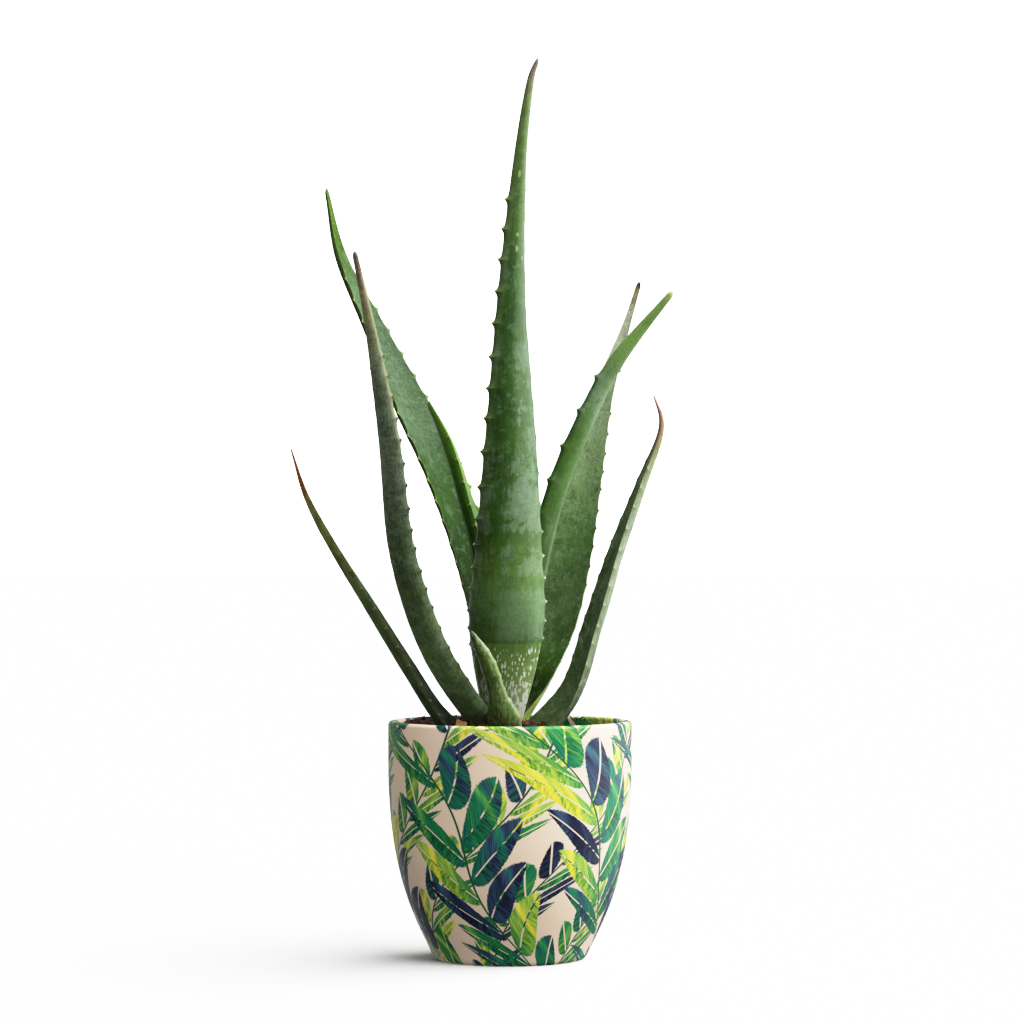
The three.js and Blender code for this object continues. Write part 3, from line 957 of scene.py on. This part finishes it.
LOOKS = {
    "leaf_tall_front": {
        **FRESH,
        "outer": [
            (0.0, paint(206, 208, 200)),
            (0.03, paint(188, 198, 170)),
            (0.055, paint(172, 188, 144)),
            (0.08, paint(158, 182, 120)),
            (0.1, paint(132, 161, 86)),
            (0.1475, paint(97, 134, 46)),
            (0.149, paint(30, 54, 8)),
            (0.151, paint(74, 110, 52)),
            (0.215, paint(96, 132, 66)),
            (0.26, paint(78, 112, 30)),
            (0.3, paint(50, 86, 14)),
            (0.62, paint(38, 74, 8)),
            (0.82, paint(76, 107, 42)),
            (0.93, paint(104, 124, 64)),
            (0.965, paint(116, 108, 80)),
            (0.982, paint(112, 84, 76)),
            (1.0, paint(78, 44, 52)),
        ],
        "inner": [
            (0.0, paint(150, 164, 96)),
            (0.12, paint(74, 104, 40)),
            (0.9, paint(70, 102, 40)),
            (1.0, paint(90, 64, 50)),
        ],
        "bloom": [
            (0.153, 0.226, 0.003, 0.9, 0.9, 0.26),
            (0.24, 0.285, 0.008, 0.62, 0.5, 0.46),
            (0.304, 0.52, 0.003, 0.7, 0.36, 0.44),
            (0.535, 0.578, 0.004, 0.86, 0.86, 0.26),
            (0.6, 0.86, 0.02, 0.4, 0.4, 0.2),
        ],
        "bloom_colour": paint(134, 154, 132),
        "haze": 0.24,
        "haze_colour": paint(112, 142, 92),
        # Painted shade: a darker streak down the leaf, where the haze and bloom are left off.
        "shade_streak": (0.6, 0.42),
        "ovals": [(2.5, 323, 0.8, 2.2), (2.4, 280, 0.8, 2.0), (-1.6, 275, 0.6, 1.5), (2.2, 288, 0.9, 1.2)],
        "mottling": 0.35,
        "texture": 0.2,
        "flecks": 1.0,
        "fleck_zone": (0.0, 0.145),
        "fleck_colour": paint(226, 230, 212),
        "gloss": 0.3,
        "sheen": 0.06,
        "margin": 0.4,
        "margin_width": 2.2,
        "margin_zone": (0.3, 0.9),
        "margin_colour": paint(112, 136, 84),
        "tooth_colour": paint(132, 142, 56),
    },
    "leaf_back_left": {
        **FRESH,
        "outer": [(0.0, paint(120, 150, 70)), (0.2, paint(66, 98, 46)), (1.0, paint(92, 128, 56))],
        "inner": [
            (0.0, paint(100, 126, 60)),
            (0.16, paint(20, 42, 2)),
            (0.3, paint(26, 52, 4)),
            (0.4, paint(42, 70, 22)),
            (0.7, paint(44, 70, 26)),
            (0.82, paint(46, 74, 20)),
            (1.0, paint(72, 98, 14)),
        ],
        "bloom": [(0.42, 0.92, 0.14, 0.8, 0.85, 0.28)],
        "bloom_colour": paint(120, 138, 120),
        "haze": 0.12,
        "haze_colour": paint(80, 108, 58),
        "mottling": 0.4,
        "texture": 0.35,
        "roughness": 0.6,
        "gloss": 0.04,
        "sheen": 0.0,
        "dirt": 0.15,
        "margin": 0.3,
        "margin_colour": paint(150, 176, 80),
        "tooth_colour": paint(104, 136, 44),
    },
    "leaf_inner_left": {
        **FRESH,
        "outer": [
            (0.0, paint(90, 126, 44)),
            (0.3, paint(38, 84, 2)),
            (0.6, paint(50, 98, 6)),
            (0.78, paint(82, 134, 28)),
            (0.9, paint(116, 166, 66)),
        ],
        "inner": [
            (0.0, paint(100, 134, 54)),
            (0.3, paint(32, 74, 6)),
            (0.6, paint(48, 94, 12)),
            (0.78, paint(98, 136, 54)),
            (0.9, paint(124, 166, 82)),
        ],
        "bloom": [],
        "haze": 0.04,
        "mottling": 0.1,
        "texture": 0.08,
        "dirt": 0.0,
        "roughness": 0.22,
        "gloss": 0.12,
        "sheen": 0.0,
        "margin": 0.3,
        "margin_width": 0.9,
        "margin_colour": paint(140, 170, 74),
        "tooth_colour": paint(226, 232, 156),
    },
    "leaf_inner_right": {
        **FRESH,
        "outer": [
            (0.0, paint(130, 160, 80)),
            (0.3, paint(48, 86, 20)),
            (0.6, paint(84, 130, 40)),
            (0.7, paint(120, 160, 96)),
            (0.78, paint(134, 168, 108)),
            (0.86, paint(132, 174, 84)),
            (0.97, paint(146, 182, 94)),
            (1.0, paint(190, 202, 120)),
        ],
        "inner": [(0.0, paint(120, 154, 74)), (0.3, paint(56, 94, 30)), (1.0, paint(70, 110, 34))],
        "bloom": [(0.34, 0.66, 0.1, 0.3, 0.4, 0.24), (0.66, 0.78, 0.02, 0.6, 0.6, 0.5)],
        "bloom_colour": paint(150, 176, 150),
        "haze": 0.2,
        "gloss": 0.4,
        "margin": 0.6,
        "margin_width": 0.9,
        "margin_zone": (0.1, 0.8),
        "margin_colour": paint(36, 66, 8),
        "tooth_colour": paint(96, 116, 40),
    },
    "leaf_back_right": {
        **FRESH,
        "outer": [(0.0, paint(176, 190, 104)), (0.2, paint(70, 98, 34)), (1.0, paint(84, 90, 52))],
        # The inner face grows paler up the leaf, near white short of the tip: partly its own grey-green,
        # partly painted light that lifts the shade of the leaf in front of it.
        "inner": [
            (0.0, paint(96, 116, 56)),
            (0.07, paint(26, 48, 0)),
            (0.13, paint(38, 62, 8)),
            (0.18, paint(62, 90, 32)),
            (0.22, paint(80, 106, 60)),
            (0.27, paint(90, 114, 72)),
            (0.34, paint(98, 124, 78)),
            (0.46, paint(102, 140, 76)),
            (0.6, paint(158, 190, 130)),
            (0.78, paint(200, 218, 176)),
            (0.9, paint(240, 244, 218)),
            (0.97, paint(190, 180, 138)),
            (1.0, paint(86, 60, 44)),
        ],
        "bloom": [(0.34, 0.97, 0.2, 0.5, 0.75, 0.34)],
        "bloom_colour": paint(176, 198, 164),
        "smear_scale": 160,
        "haze": 0.04,
        "mottling": 0.36,
        "gloss": 0.12,
        "sheen": 0.03,
        "dirt": 1.0,
        "texture": 0.35,
        "margin": 0.1,
        "tooth_colour": paint(92, 84, 48),
    },
    "leaf_front_left": {
        **FRESH,
        "outer": [
            (0.0, paint(30, 40, 22)),
            (0.1, paint(88, 108, 72)),
            (0.2, paint(100, 123, 76)),
            (0.34, paint(71, 89, 48)),
            (0.5, paint(59, 72, 46)),
            (0.66, paint(82, 95, 71)),
            (0.8, paint(94, 102, 72)),
            (0.92, paint(122, 112, 84)),
            (0.97, paint(98, 80, 62)),
            (1.0, paint(84, 56, 46)),
        ],
        "inner": [(0.0, paint(20, 30, 10)), (0.5, paint(34, 48, 18)), (1.0, paint(70, 56, 38))],
        "bloom": [(0.1, 0.86, 0.1, 0.4, 0.6, 0.4)],
        "bloom_colour": paint(104, 116, 102),
        "haze": 0.12,
        "haze_colour": paint(110, 124, 96),
        "mottling": 0.5,
        "texture": 0.45,
        "dirt": 0.6,
        "roughness": 0.45,
        "gloss": 0.14,
        "sheen": 0.0,
        "margin": 0.5,
        "margin_zone": (0.6, 0.98),
        "margin_colour": paint(150, 150, 116),
        "tooth_colour": paint(70, 54, 34),
        "low_tooth_colour": paint(70, 60, 40),
    },
    "leaf_low_right": {
        **FRESH,
        # Painted light: the outer face is paler along its middle, where the light from the right falls on it.
        "outer": [
            (0.0, paint(182, 194, 94)),
            (0.07, paint(184, 194, 120)),
            (0.16, paint(43, 51, 39)),
            (0.3, paint(80, 94, 72)),
            (0.44, paint(133, 150, 120)),
            (0.66, paint(148, 162, 138)),
            (0.84, paint(142, 150, 106)),
            (0.92, paint(170, 100, 72)),
            (1.0, paint(196, 70, 60)),
        ],
        "inner": [
            (0.0, paint(166, 176, 80)),
            (0.09, paint(86, 98, 52)),
            (0.2, paint(54, 68, 42)),
            (0.5, paint(58, 72, 46)),
            (0.8, paint(84, 92, 54)),
            (0.9, paint(140, 78, 54)),
            (1.0, paint(184, 64, 54)),
        ],
        "bloom": [(0.08, 0.85, 0.06, 0.4, 0.5, 0.4)],
        "bloom_colour": paint(140, 156, 132),
        "mottling": 0.55,
        "texture": 0.4,
        "roughness": 0.42,
        "gloss": 0.25,
        "sheen": 0.0,
        "dirt": 1.0,
        "margin": 0.3,
        "margin_zone": (0.1, 0.86),
        "margin_colour": paint(150, 158, 116),
        "tooth_colour": paint(196, 198, 150),
        "low_tooth_colour": paint(206, 208, 166),
    },
    "leaf_low_left": {
        **FRESH,
        "outer": [
            (0.0, paint(6, 10, 3)),
            (0.05, paint(12, 17, 8)),
            (0.13, paint(40, 49, 33)),
            (0.3, paint(62, 76, 48)),
            (0.55, paint(88, 104, 62)),
            (0.76, paint(122, 130, 72)),
            (0.86, paint(140, 128, 78)),
            (0.91, paint(166, 92, 56)),
            (1.0, paint(150, 56, 46)),
        ],
        "inner": [
            (0.0, paint(6, 12, 2)),
            (0.3, paint(10, 22, 2)),
            (0.7, paint(46, 60, 20)),
            (0.86, paint(78, 70, 34)),
            (0.92, paint(110, 56, 32)),
            (1.0, paint(134, 48, 36)),
        ],
        "bloom": [(0.05, 0.75, 0.1, 0.4, 0.4, 0.14)],
        "bloom_colour": paint(90, 104, 76),
        "haze": 0.06,
        "haze_colour": paint(80, 96, 60),
        "mottling": 0.5,
        "roughness": 0.5,
        "gloss": 0.05,
        "sheen": 0.0,
        "dirt": 0.4,
        "margin": 0.2,
        "margin_zone": (0.1, 0.84),
        "margin_colour": paint(140, 140, 104),
        "tooth_colour": paint(176, 172, 134),
    },
    "leaf_pup_front": {
        **FRESH,
        "outer": [
            (0.0, paint(38, 56, 14)),
            (0.22, paint(63, 86, 34)),
            (0.4, paint(72, 102, 46)),
            (0.75, paint(74, 102, 34)),
            (1.0, paint(58, 68, 14)),
        ],
        "inner": [(0.0, paint(64, 84, 34)), (0.5, paint(54, 80, 28)), (1.0, paint(92, 94, 44))],
        "bloom": [(-0.1, 1.1, 0.1, 0.6, 0.3, 0.26)],
        "bloom_colour": paint(122, 142, 80),
        "haze": 0.02,
        "mottling": 0.9,
        "texture": 0.4,
        "flecks": 0.34,
        "fleck_zone": (-0.4, 1.5),
        "fleck_colour": paint(152, 170, 112),
        "margin": 0.25,
        "margin_colour": paint(170, 180, 120),
        "tooth_colour": paint(150, 160, 100),
    },
}


BLOTCH_SHADE = paint(112, 128, 84)
FIBRE_SHADE = paint(110, 130, 84)
DIRT = paint(52, 42, 26)


def attribute(tree, name, output="Fac"):
    node = tree.nodes.new("ShaderNodeAttribute")
    node.attribute_name = name
    return node.outputs[output]


def zone(tree, value, start, end, blur):
    """1 where value is between start and end, with soft ends."""
    before_end = ease(tree, value, end, end - blur)
    return calc(tree, "MULTIPLY", ease(tree, value, start, start + blur), before_end)


def drawn_out(tree, across, along, fine, coarse, scatter):
    """Noise in the skin's own directions, with this many ups and downs a millimetre across and along."""
    x = calc(tree, "MULTIPLY", across, fine)
    y = calc(tree, "MULTIPLY", along, coarse)
    return cloud(tree, vector(tree, x, y, scatter), 1.0, 4, 0.6, 0.3)


def blended(tree, parts):
    """The sum of some noises by their weights."""
    total = 0.0
    for value, weight in parts:
        total = calc(tree, "MULTIPLY_ADD", value, weight, total)
    return total


def wax(tree, noises, across, along, share, bands):
    """Where the grey bloom lies, and how thick: ragged smears with scalloped ends, in bands."""
    smears, strokes, bars, grains = noises
    value = blended(tree, [(smears, 0.62), (strokes, 0.16), (bars, 0.14), (grains, 0.08)])
    scallop = calc(tree, "ABSOLUTE", calc(tree, "SINE", calc(tree, "MULTIPLY_ADD", across, 0.62, 0.5)))
    wavy = drawn_out(tree, across, along, 0.16, 0.0, 7.0)
    ragged = blended(tree, [(wavy, 0.035), (strokes, 0.012), (scallop, 0.007), (share, 1.0), (1.0, -0.027)])
    body = ease(tree, grains, 0.3, 0.62, 0.7, 1.0)
    total = 0.0
    for start, end, blur, cover_start, cover_end, strength in bands:
        level = ease(tree, share, start, end, 1.0 - cover_start, 1.0 - cover_end)
        level = calc(tree, "MULTIPLY_ADD", level, 0.36, 0.32)
        over = calc(tree, "SUBTRACT", value, level)
        cover = blended(tree, [(ease(tree, over, 0.0, 0.014), 0.65), (ease(tree, over, 0.0, 0.14), 0.35)])
        cover = calc(tree, "MULTIPLY", cover, zone(tree, ragged, start, end, blur))
        total = calc(tree, "MAXIMUM", total, calc(tree, "MULTIPLY", cover, strength))
    return calc(tree, "MULTIPLY", total, body)


def fleck_layer(tree, across, along, crowd, scatter):
    """Ovals drawn out along the leaf, one or none to a cell, larger where they crowd."""
    cells = tree.nodes.new("ShaderNodeTexVoronoi")
    cells.voronoi_dimensions = "3D"
    cells.inputs["Scale"].default_value = 1.0
    cells.inputs["Randomness"].default_value = 1.0
    bent = vector(tree, calc(tree, "MULTIPLY", across, 0.2), calc(tree, "MULTIPLY", along, 0.1), scatter)
    lift = calc(tree, "MULTIPLY_ADD", cloud(tree, bent, 1.0), 2.0, calc(tree, "MULTIPLY", along, 0.24))
    place = vector(tree, calc(tree, "MULTIPLY", across, 0.62), lift, scatter)
    feed(tree, place, cells.inputs["Vector"])
    draw = parts_of(tree, cells.outputs["Color"])[0]
    size = blended(tree, [(crowd, 0.37), (draw, 0.3), (1.0, 0.12)])
    return ease(tree, calc(tree, "SUBTRACT", size, cells.outputs["Distance"]), 0.0, 0.14)


def fleck_cover(tree, across, along, share, look):
    """Pale flecks that crowd and run together towards the leaf's root."""
    start, end = look["fleck_zone"]
    crowd = ease(tree, share, end, start)
    layers = [fleck_layer(tree, across, along, crowd, scatter) for scatter in (2.5, 9.5)]
    cover = calc(tree, "MULTIPLY", calc(tree, "MAXIMUM", *layers), ease(tree, share, end, end - 0.012))
    return calc(tree, "MULTIPLY", cover, look["flecks"])


def oval_cover(tree, across, along, middle, at, half_width, half_length):
    """One oval spot with a soft edge."""
    x = calc(tree, "DIVIDE", calc(tree, "SUBTRACT", across, middle), half_width)
    y = calc(tree, "DIVIDE", calc(tree, "SUBTRACT", along, at), half_length)
    away = calc(tree, "ADD", calc(tree, "MULTIPLY", x, x), calc(tree, "MULTIPLY", y, y))
    return ease(tree, away, 1.3, 0.4, 0.0, 0.6)


def mottled_green(tree, place, share, fibres, look):
    """The green from root to tip on either face, with dark blotches, pale spots and darker fibres."""
    outer, inner = ramp(tree, share, look["outer"]), ramp(tree, share, look["inner"])
    green = mixed(tree, attribute(tree, "inner_face"), outer, inner)
    blotches = ease(tree, cloud(tree, place, 55, 8, 0.7, 0.5), 0.46, 0.58, 0.0, look["mottling"])
    green = mixed(tree, blotches, green, BLOTCH_SHADE, "MULTIPLY")
    spots = ease(tree, cloud(tree, place, 190, 8, 0.75, 0.4), 0.5, 0.62, 0.0, 0.6 * look["mottling"])
    green = mixed(tree, spots, green, look["bloom_colour"])
    return mixed(tree, ease(tree, fibres, 0.5, 0.3, 0.0, 0.35), green, FIBRE_SHADE, "MULTIPLY")


def wax_beside_shade_streak(tree, across, edge, strokes, smears, shade_streak):
    """How much wax is left beside a ragged streak of painted shade, where the wax is left off and the green
    shows darker.
    """
    middle, width = shade_streak
    half = calc(tree, "ADD", calc(tree, "ABSOLUTE", across), edge)
    aside = calc(tree, "ABSOLUTE", calc(tree, "SUBTRACT", calc(tree, "DIVIDE", across, half), middle))
    aside = blended(tree, [(aside, 1.0), (strokes, 0.5), (smears, 0.6), (1.0, -0.55)])
    return ease(tree, aside, 0.3 * width, width, 0.05)


def spotted(tree, green, across, along, share, look):
    """The pale flecks, fewer of them on the inner face, and the single ovals."""
    if look["flecks"]:
        flecks = fleck_cover(tree, across, along, share, look)
        flecks = calc(tree, "MULTIPLY", flecks, ease(tree, attribute(tree, "inner_face"), 0, 1, 1.0, 0.4))
        green = mixed(tree, flecks, green, look["fleck_colour"])
    for oval in look["ovals"]:
        green = mixed(tree, oval_cover(tree, across, along, *oval), green, look["oval_colour"])
    return green


def grained(tree, green, place, grains, fibres, look):
    """The skin's fine grain, and specks of dirt where they gather."""
    speckle = ease(tree, cloud(tree, place, 760, 4, 0.75), 0.36, 0.64)
    texture = blended(tree, [(speckle, 0.5), (grains, 0.6), (fibres, 0.5), (1.0, -0.3)])
    green = mixed(tree, look["texture"], green, texture, "OVERLAY")
    specks = ease(tree, cloud(tree, place, 620, 3, 0.6), 0.64, 0.69)
    stains = ease(tree, cloud(tree, place, 95, 3, 0.6), 0.48, 0.62)
    dirt = calc(tree, "MULTIPLY", calc(tree, "MULTIPLY", specks, stains), look["dirt"])
    return mixed(tree, dirt, green, DIRT)


def edged(tree, green, edge, share, look):
    """The pale margin and the teeth on it."""
    margin = calc(tree, "MULTIPLY", ease(tree, edge, look["margin_width"], 0.1), look["margin"])
    margin = calc(tree, "MULTIPLY", margin, zone(tree, share, *look["margin_zone"], 0.06))
    green = mixed(tree, margin, green, look["margin_colour"])
    horn = mixed(tree, ease(tree, share, 0.26, 0.34), look["low_tooth_colour"], look["tooth_colour"])
    return mixed(tree, ease(tree, attribute(tree, "tooth"), 0.1, 0.4), green, horn)


def leaf_skin(name, length, look):
    """The leaf's waxy skin: its green, the bloom on it, flecks, dirt, and a paler margin with its teeth."""
    material, tree, shader = new_material(name)
    place = object_place(tree)
    across, along, edge = parts_of(tree, attribute(tree, "skin", "Vector"))
    share = calc(tree, "DIVIDE", along, length)
    smears = cloud(tree, place, look["smear_scale"], 4, 0.5, 1.4)
    strokes = drawn_out(tree, across, along, 0.7, 0.06, 1.0)
    bars = drawn_out(tree, across, along, 0.05, 0.22, 4.0)
    grains = cloud(tree, place, 330, 6, 0.72)
    fibres = drawn_out(tree, across, along, 1.5, 0.04, 0.0)
    green = mottled_green(tree, place, share, fibres, look)

    kept = 1.0
    # Painted shade: along the streak the haze and bloom are left off, so the green shows darker there.
    if look["shade_streak"]:
        kept = wax_beside_shade_streak(tree, across, edge, strokes, smears, look["shade_streak"])
    haze = calc(tree, "MULTIPLY", ease(tree, grains, 0.25, 0.7, 0.6, 1.0), look["haze"])
    green = mixed(tree, calc(tree, "MULTIPLY", haze, kept), green, look["haze_colour"])
    bloom = 0.0
    if look["bloom"]:
        bloom = wax(tree, (smears, strokes, bars, grains), across, along, share, look["bloom"])
        bloom = calc(tree, "MULTIPLY", bloom, kept)
        green = mixed(tree, bloom, green, look["bloom_colour"])
    green = spotted(tree, green, across, along, share, look)
    green = grained(tree, green, place, grains, fibres, look)
    feed(tree, edged(tree, green, edge, share, look), shader.inputs["Base Color"])

    matt = ease(tree, bloom, 0.0, 0.7, look["roughness"], look["roughness"] + 0.22)
    feed(tree, matt, shader.inputs["Roughness"])
    shader.inputs["Specular IOR Level"].default_value = look["gloss"]
    shader.inputs["Sheen Weight"].default_value = look["sheen"]
    shader.inputs["Sheen Roughness"].default_value = 0.4
    shader.inputs["Sheen Tint"].default_value = paint(236, 246, 226)
    shader.inputs["Subsurface Weight"].default_value = 0.08
    shader.inputs["Subsurface Radius"].default_value = (0.6, 1.0, 0.3)
    shader.inputs["Subsurface Scale"].default_value = 0.002
    height = blended(tree, [(fibres, 0.7), (bloom, 0.15), (cloud(tree, place, 230, 4), 0.5)])
    feed(tree, raised(tree, height, 0.22, 0.0006), shader.inputs["Normal"])
    return material


grown = {}
for name, leaf in LEAVES.items():
    grown[name], leaf_length = grown_leaf(leaf)
    skin_material = leaf_skin(name + "_skin", leaf_length, LOOKS[name])
    hand_over(grown[name], "fleshy_" + name, skin_material, "leaf", name)


# The setting: a white table that runs back out of sight, daylight from high at the right, and a white room.
# A low wide lamp lights the table alone, and two cards brighten the pot's front and the two left leaves.
# The camera stands as the photograph's did, nearly level with the middle of the plant.
CAMERA_AT = (0.0012, -1.95, 0.235)
CAMERA_AIM = (0.0012, 0, 0.2566)
LENS = 118.9
BRIGHTEST = 2.5
# The tone curve: the light that comes in, and what is shown for it.
TONES = ((0.04, 0.032), (0.2, 0.19), (0.5, 0.49), (0.8, 0.72), (1.2, 0.87), (1.8, 0.97))
WHITE = (1, 1, 1, 1)


def white_table():
    """The sheet of paper that the pot stands on. It takes shadows, and throws no light back up."""
    bpy.ops.object.select_all(action="DESELECT")
    bpy.ops.mesh.primitive_plane_add(size=60, location=(0, 0, 0))
    table = bpy.context.object
    table.name = "white_table"
    material, _, shader = new_material("white_paper")
    shader.inputs["Base Color"].default_value = (0.86, 0.86, 0.86, 1)
    shader.inputs["Roughness"].default_value = 0.9
    shader.inputs["Specular IOR Level"].default_value = 0.1
    table.data.materials.append(material)
    table.visible_diffuse = False
    table.visible_glossy = False
    return table


def direction(azimuth, elevation):
    """The way to a light. azimuth turns it from the camera's side, 0, to the object's right, 90."""
    turn, rise = math.radians(azimuth), math.radians(elevation)
    return Vector((math.sin(turn) * math.cos(rise), -math.cos(turn) * math.cos(rise), math.sin(rise)))


def daylight(name, azimuth, elevation, spread, strength):
    """A soft light from far away, this many degrees wide."""
    data = bpy.data.lights.new(name, "SUN")
    data.energy = strength
    data.angle = math.radians(spread)
    lamp = bpy.data.objects.new(name, data)
    bpy.context.collection.objects.link(lamp)
    lamp.rotation_euler = direction(azimuth, elevation).to_track_quat("Z", "Y").to_euler()
    return lamp


def lights_only(lamp, *things, state="INCLUDE"):
    """Keeps a lamp's light to some objects, or off them."""
    chosen = bpy.data.collections.new("lit_by_" + lamp.name)
    for thing in things:
        chosen.objects.link(thing)
    for member in chosen.collection_objects:
        member.light_linking.link_state = state
    lamp.light_linking.receiver_collection = chosen


def facing(tree, place, way):
    """How far a direction points the given way, from -1 to 1."""
    total = 0.0
    for part, weight in zip(parts_of(tree, place), way):
        total = calc(tree, "MULTIPLY_ADD", part, weight, total)
    return total


def room():
    """The room's light: a soft box at the right and a little behind, and dim from the left front."""
    world = bpy.data.worlds.new("white_room")
    bpy.context.scene.world = world
    world.use_nodes = True
    tree = world.node_tree
    lit = tree.nodes["Background"]
    place = tree.nodes.new("ShaderNodeTexCoord").outputs["Generated"]
    wide = ease(tree, facing(tree, place, direction(80, 30)), -0.4, 1.0, 0.1, 0.6)
    box = ease(tree, facing(tree, place, direction(106, 10)), 0.7, 0.92, 0.0, 2.2)
    behind = ease(tree, facing(tree, place, direction(195, 0)), 0.7, 0.95, 0.0, 0.6)
    level = calc(tree, "ADD", calc(tree, "ADD", wide, box), behind)
    feed(tree, level, lit.inputs["Strength"])
    lit.inputs["Color"].default_value = WHITE
    seen = tree.nodes.new("ShaderNodeBackground")
    seen.inputs["Color"].default_value = WHITE
    seen.inputs["Strength"].default_value = 4
    chosen = tree.nodes.new("ShaderNodeMixShader")
    feed(tree, tree.nodes.new("ShaderNodeLightPath").outputs["Is Camera Ray"], chosen.inputs[0])
    feed(tree, lit.outputs[0], chosen.inputs[1])
    feed(tree, seen.outputs[0], chosen.inputs[2])
    feed(tree, chosen.outputs[0], tree.nodes["World Output"].inputs[0])


def camera_tones():
    """The tone curve: it gives the darks some depth, and lets what is over white fade into it."""
    settings = bpy.context.scene.view_settings
    settings.view_transform = "Standard"
    settings.look = "None"
    settings.use_curve_mapping = True
    settings.curve_mapping.white_level = (BRIGHTEST, BRIGHTEST, BRIGHTEST)
    all_channels = settings.curve_mapping.curves[3]
    for light, shown in TONES:
        all_channels.points.new(light / BRIGHTEST, shown)
    settings.curve_mapping.update()


# Each lamp: the way to it, as two angles in degrees, its width in degrees, its strength, and what it lights.
table = white_table()
lights_only(daylight("side", 88, 51, 50, 5.2), table, state="EXCLUDE")
lights_only(daylight("top", 50, 65, 80, 2.6), table, state="EXCLUDE")
lights_only(daylight("over_table", 88, 20, 130, 14.0), table)
lights_only(daylight("front_card", -16, 20, 60, 1.3), pot)
lights_only(daylight("left_card", -80, 15, 60, 1.8), grown["leaf_front_left"], grown["leaf_low_left"])
room()
camera_tones()

# The camera, with a long lens and no blur.
camera_data = bpy.data.cameras.new("camera")
camera_data.lens = LENS
camera_data.sensor_width = 36
camera_data.clip_end = 50
camera = bpy.data.objects.new("camera", camera_data)
bpy.context.collection.objects.link(camera)
camera.location = CAMERA_AT
camera.rotation_euler = (Vector(CAMERA_AIM) - Vector(CAMERA_AT)).to_track_quat("-Z", "Y").to_euler()
bpy.context.scene.camera = camera
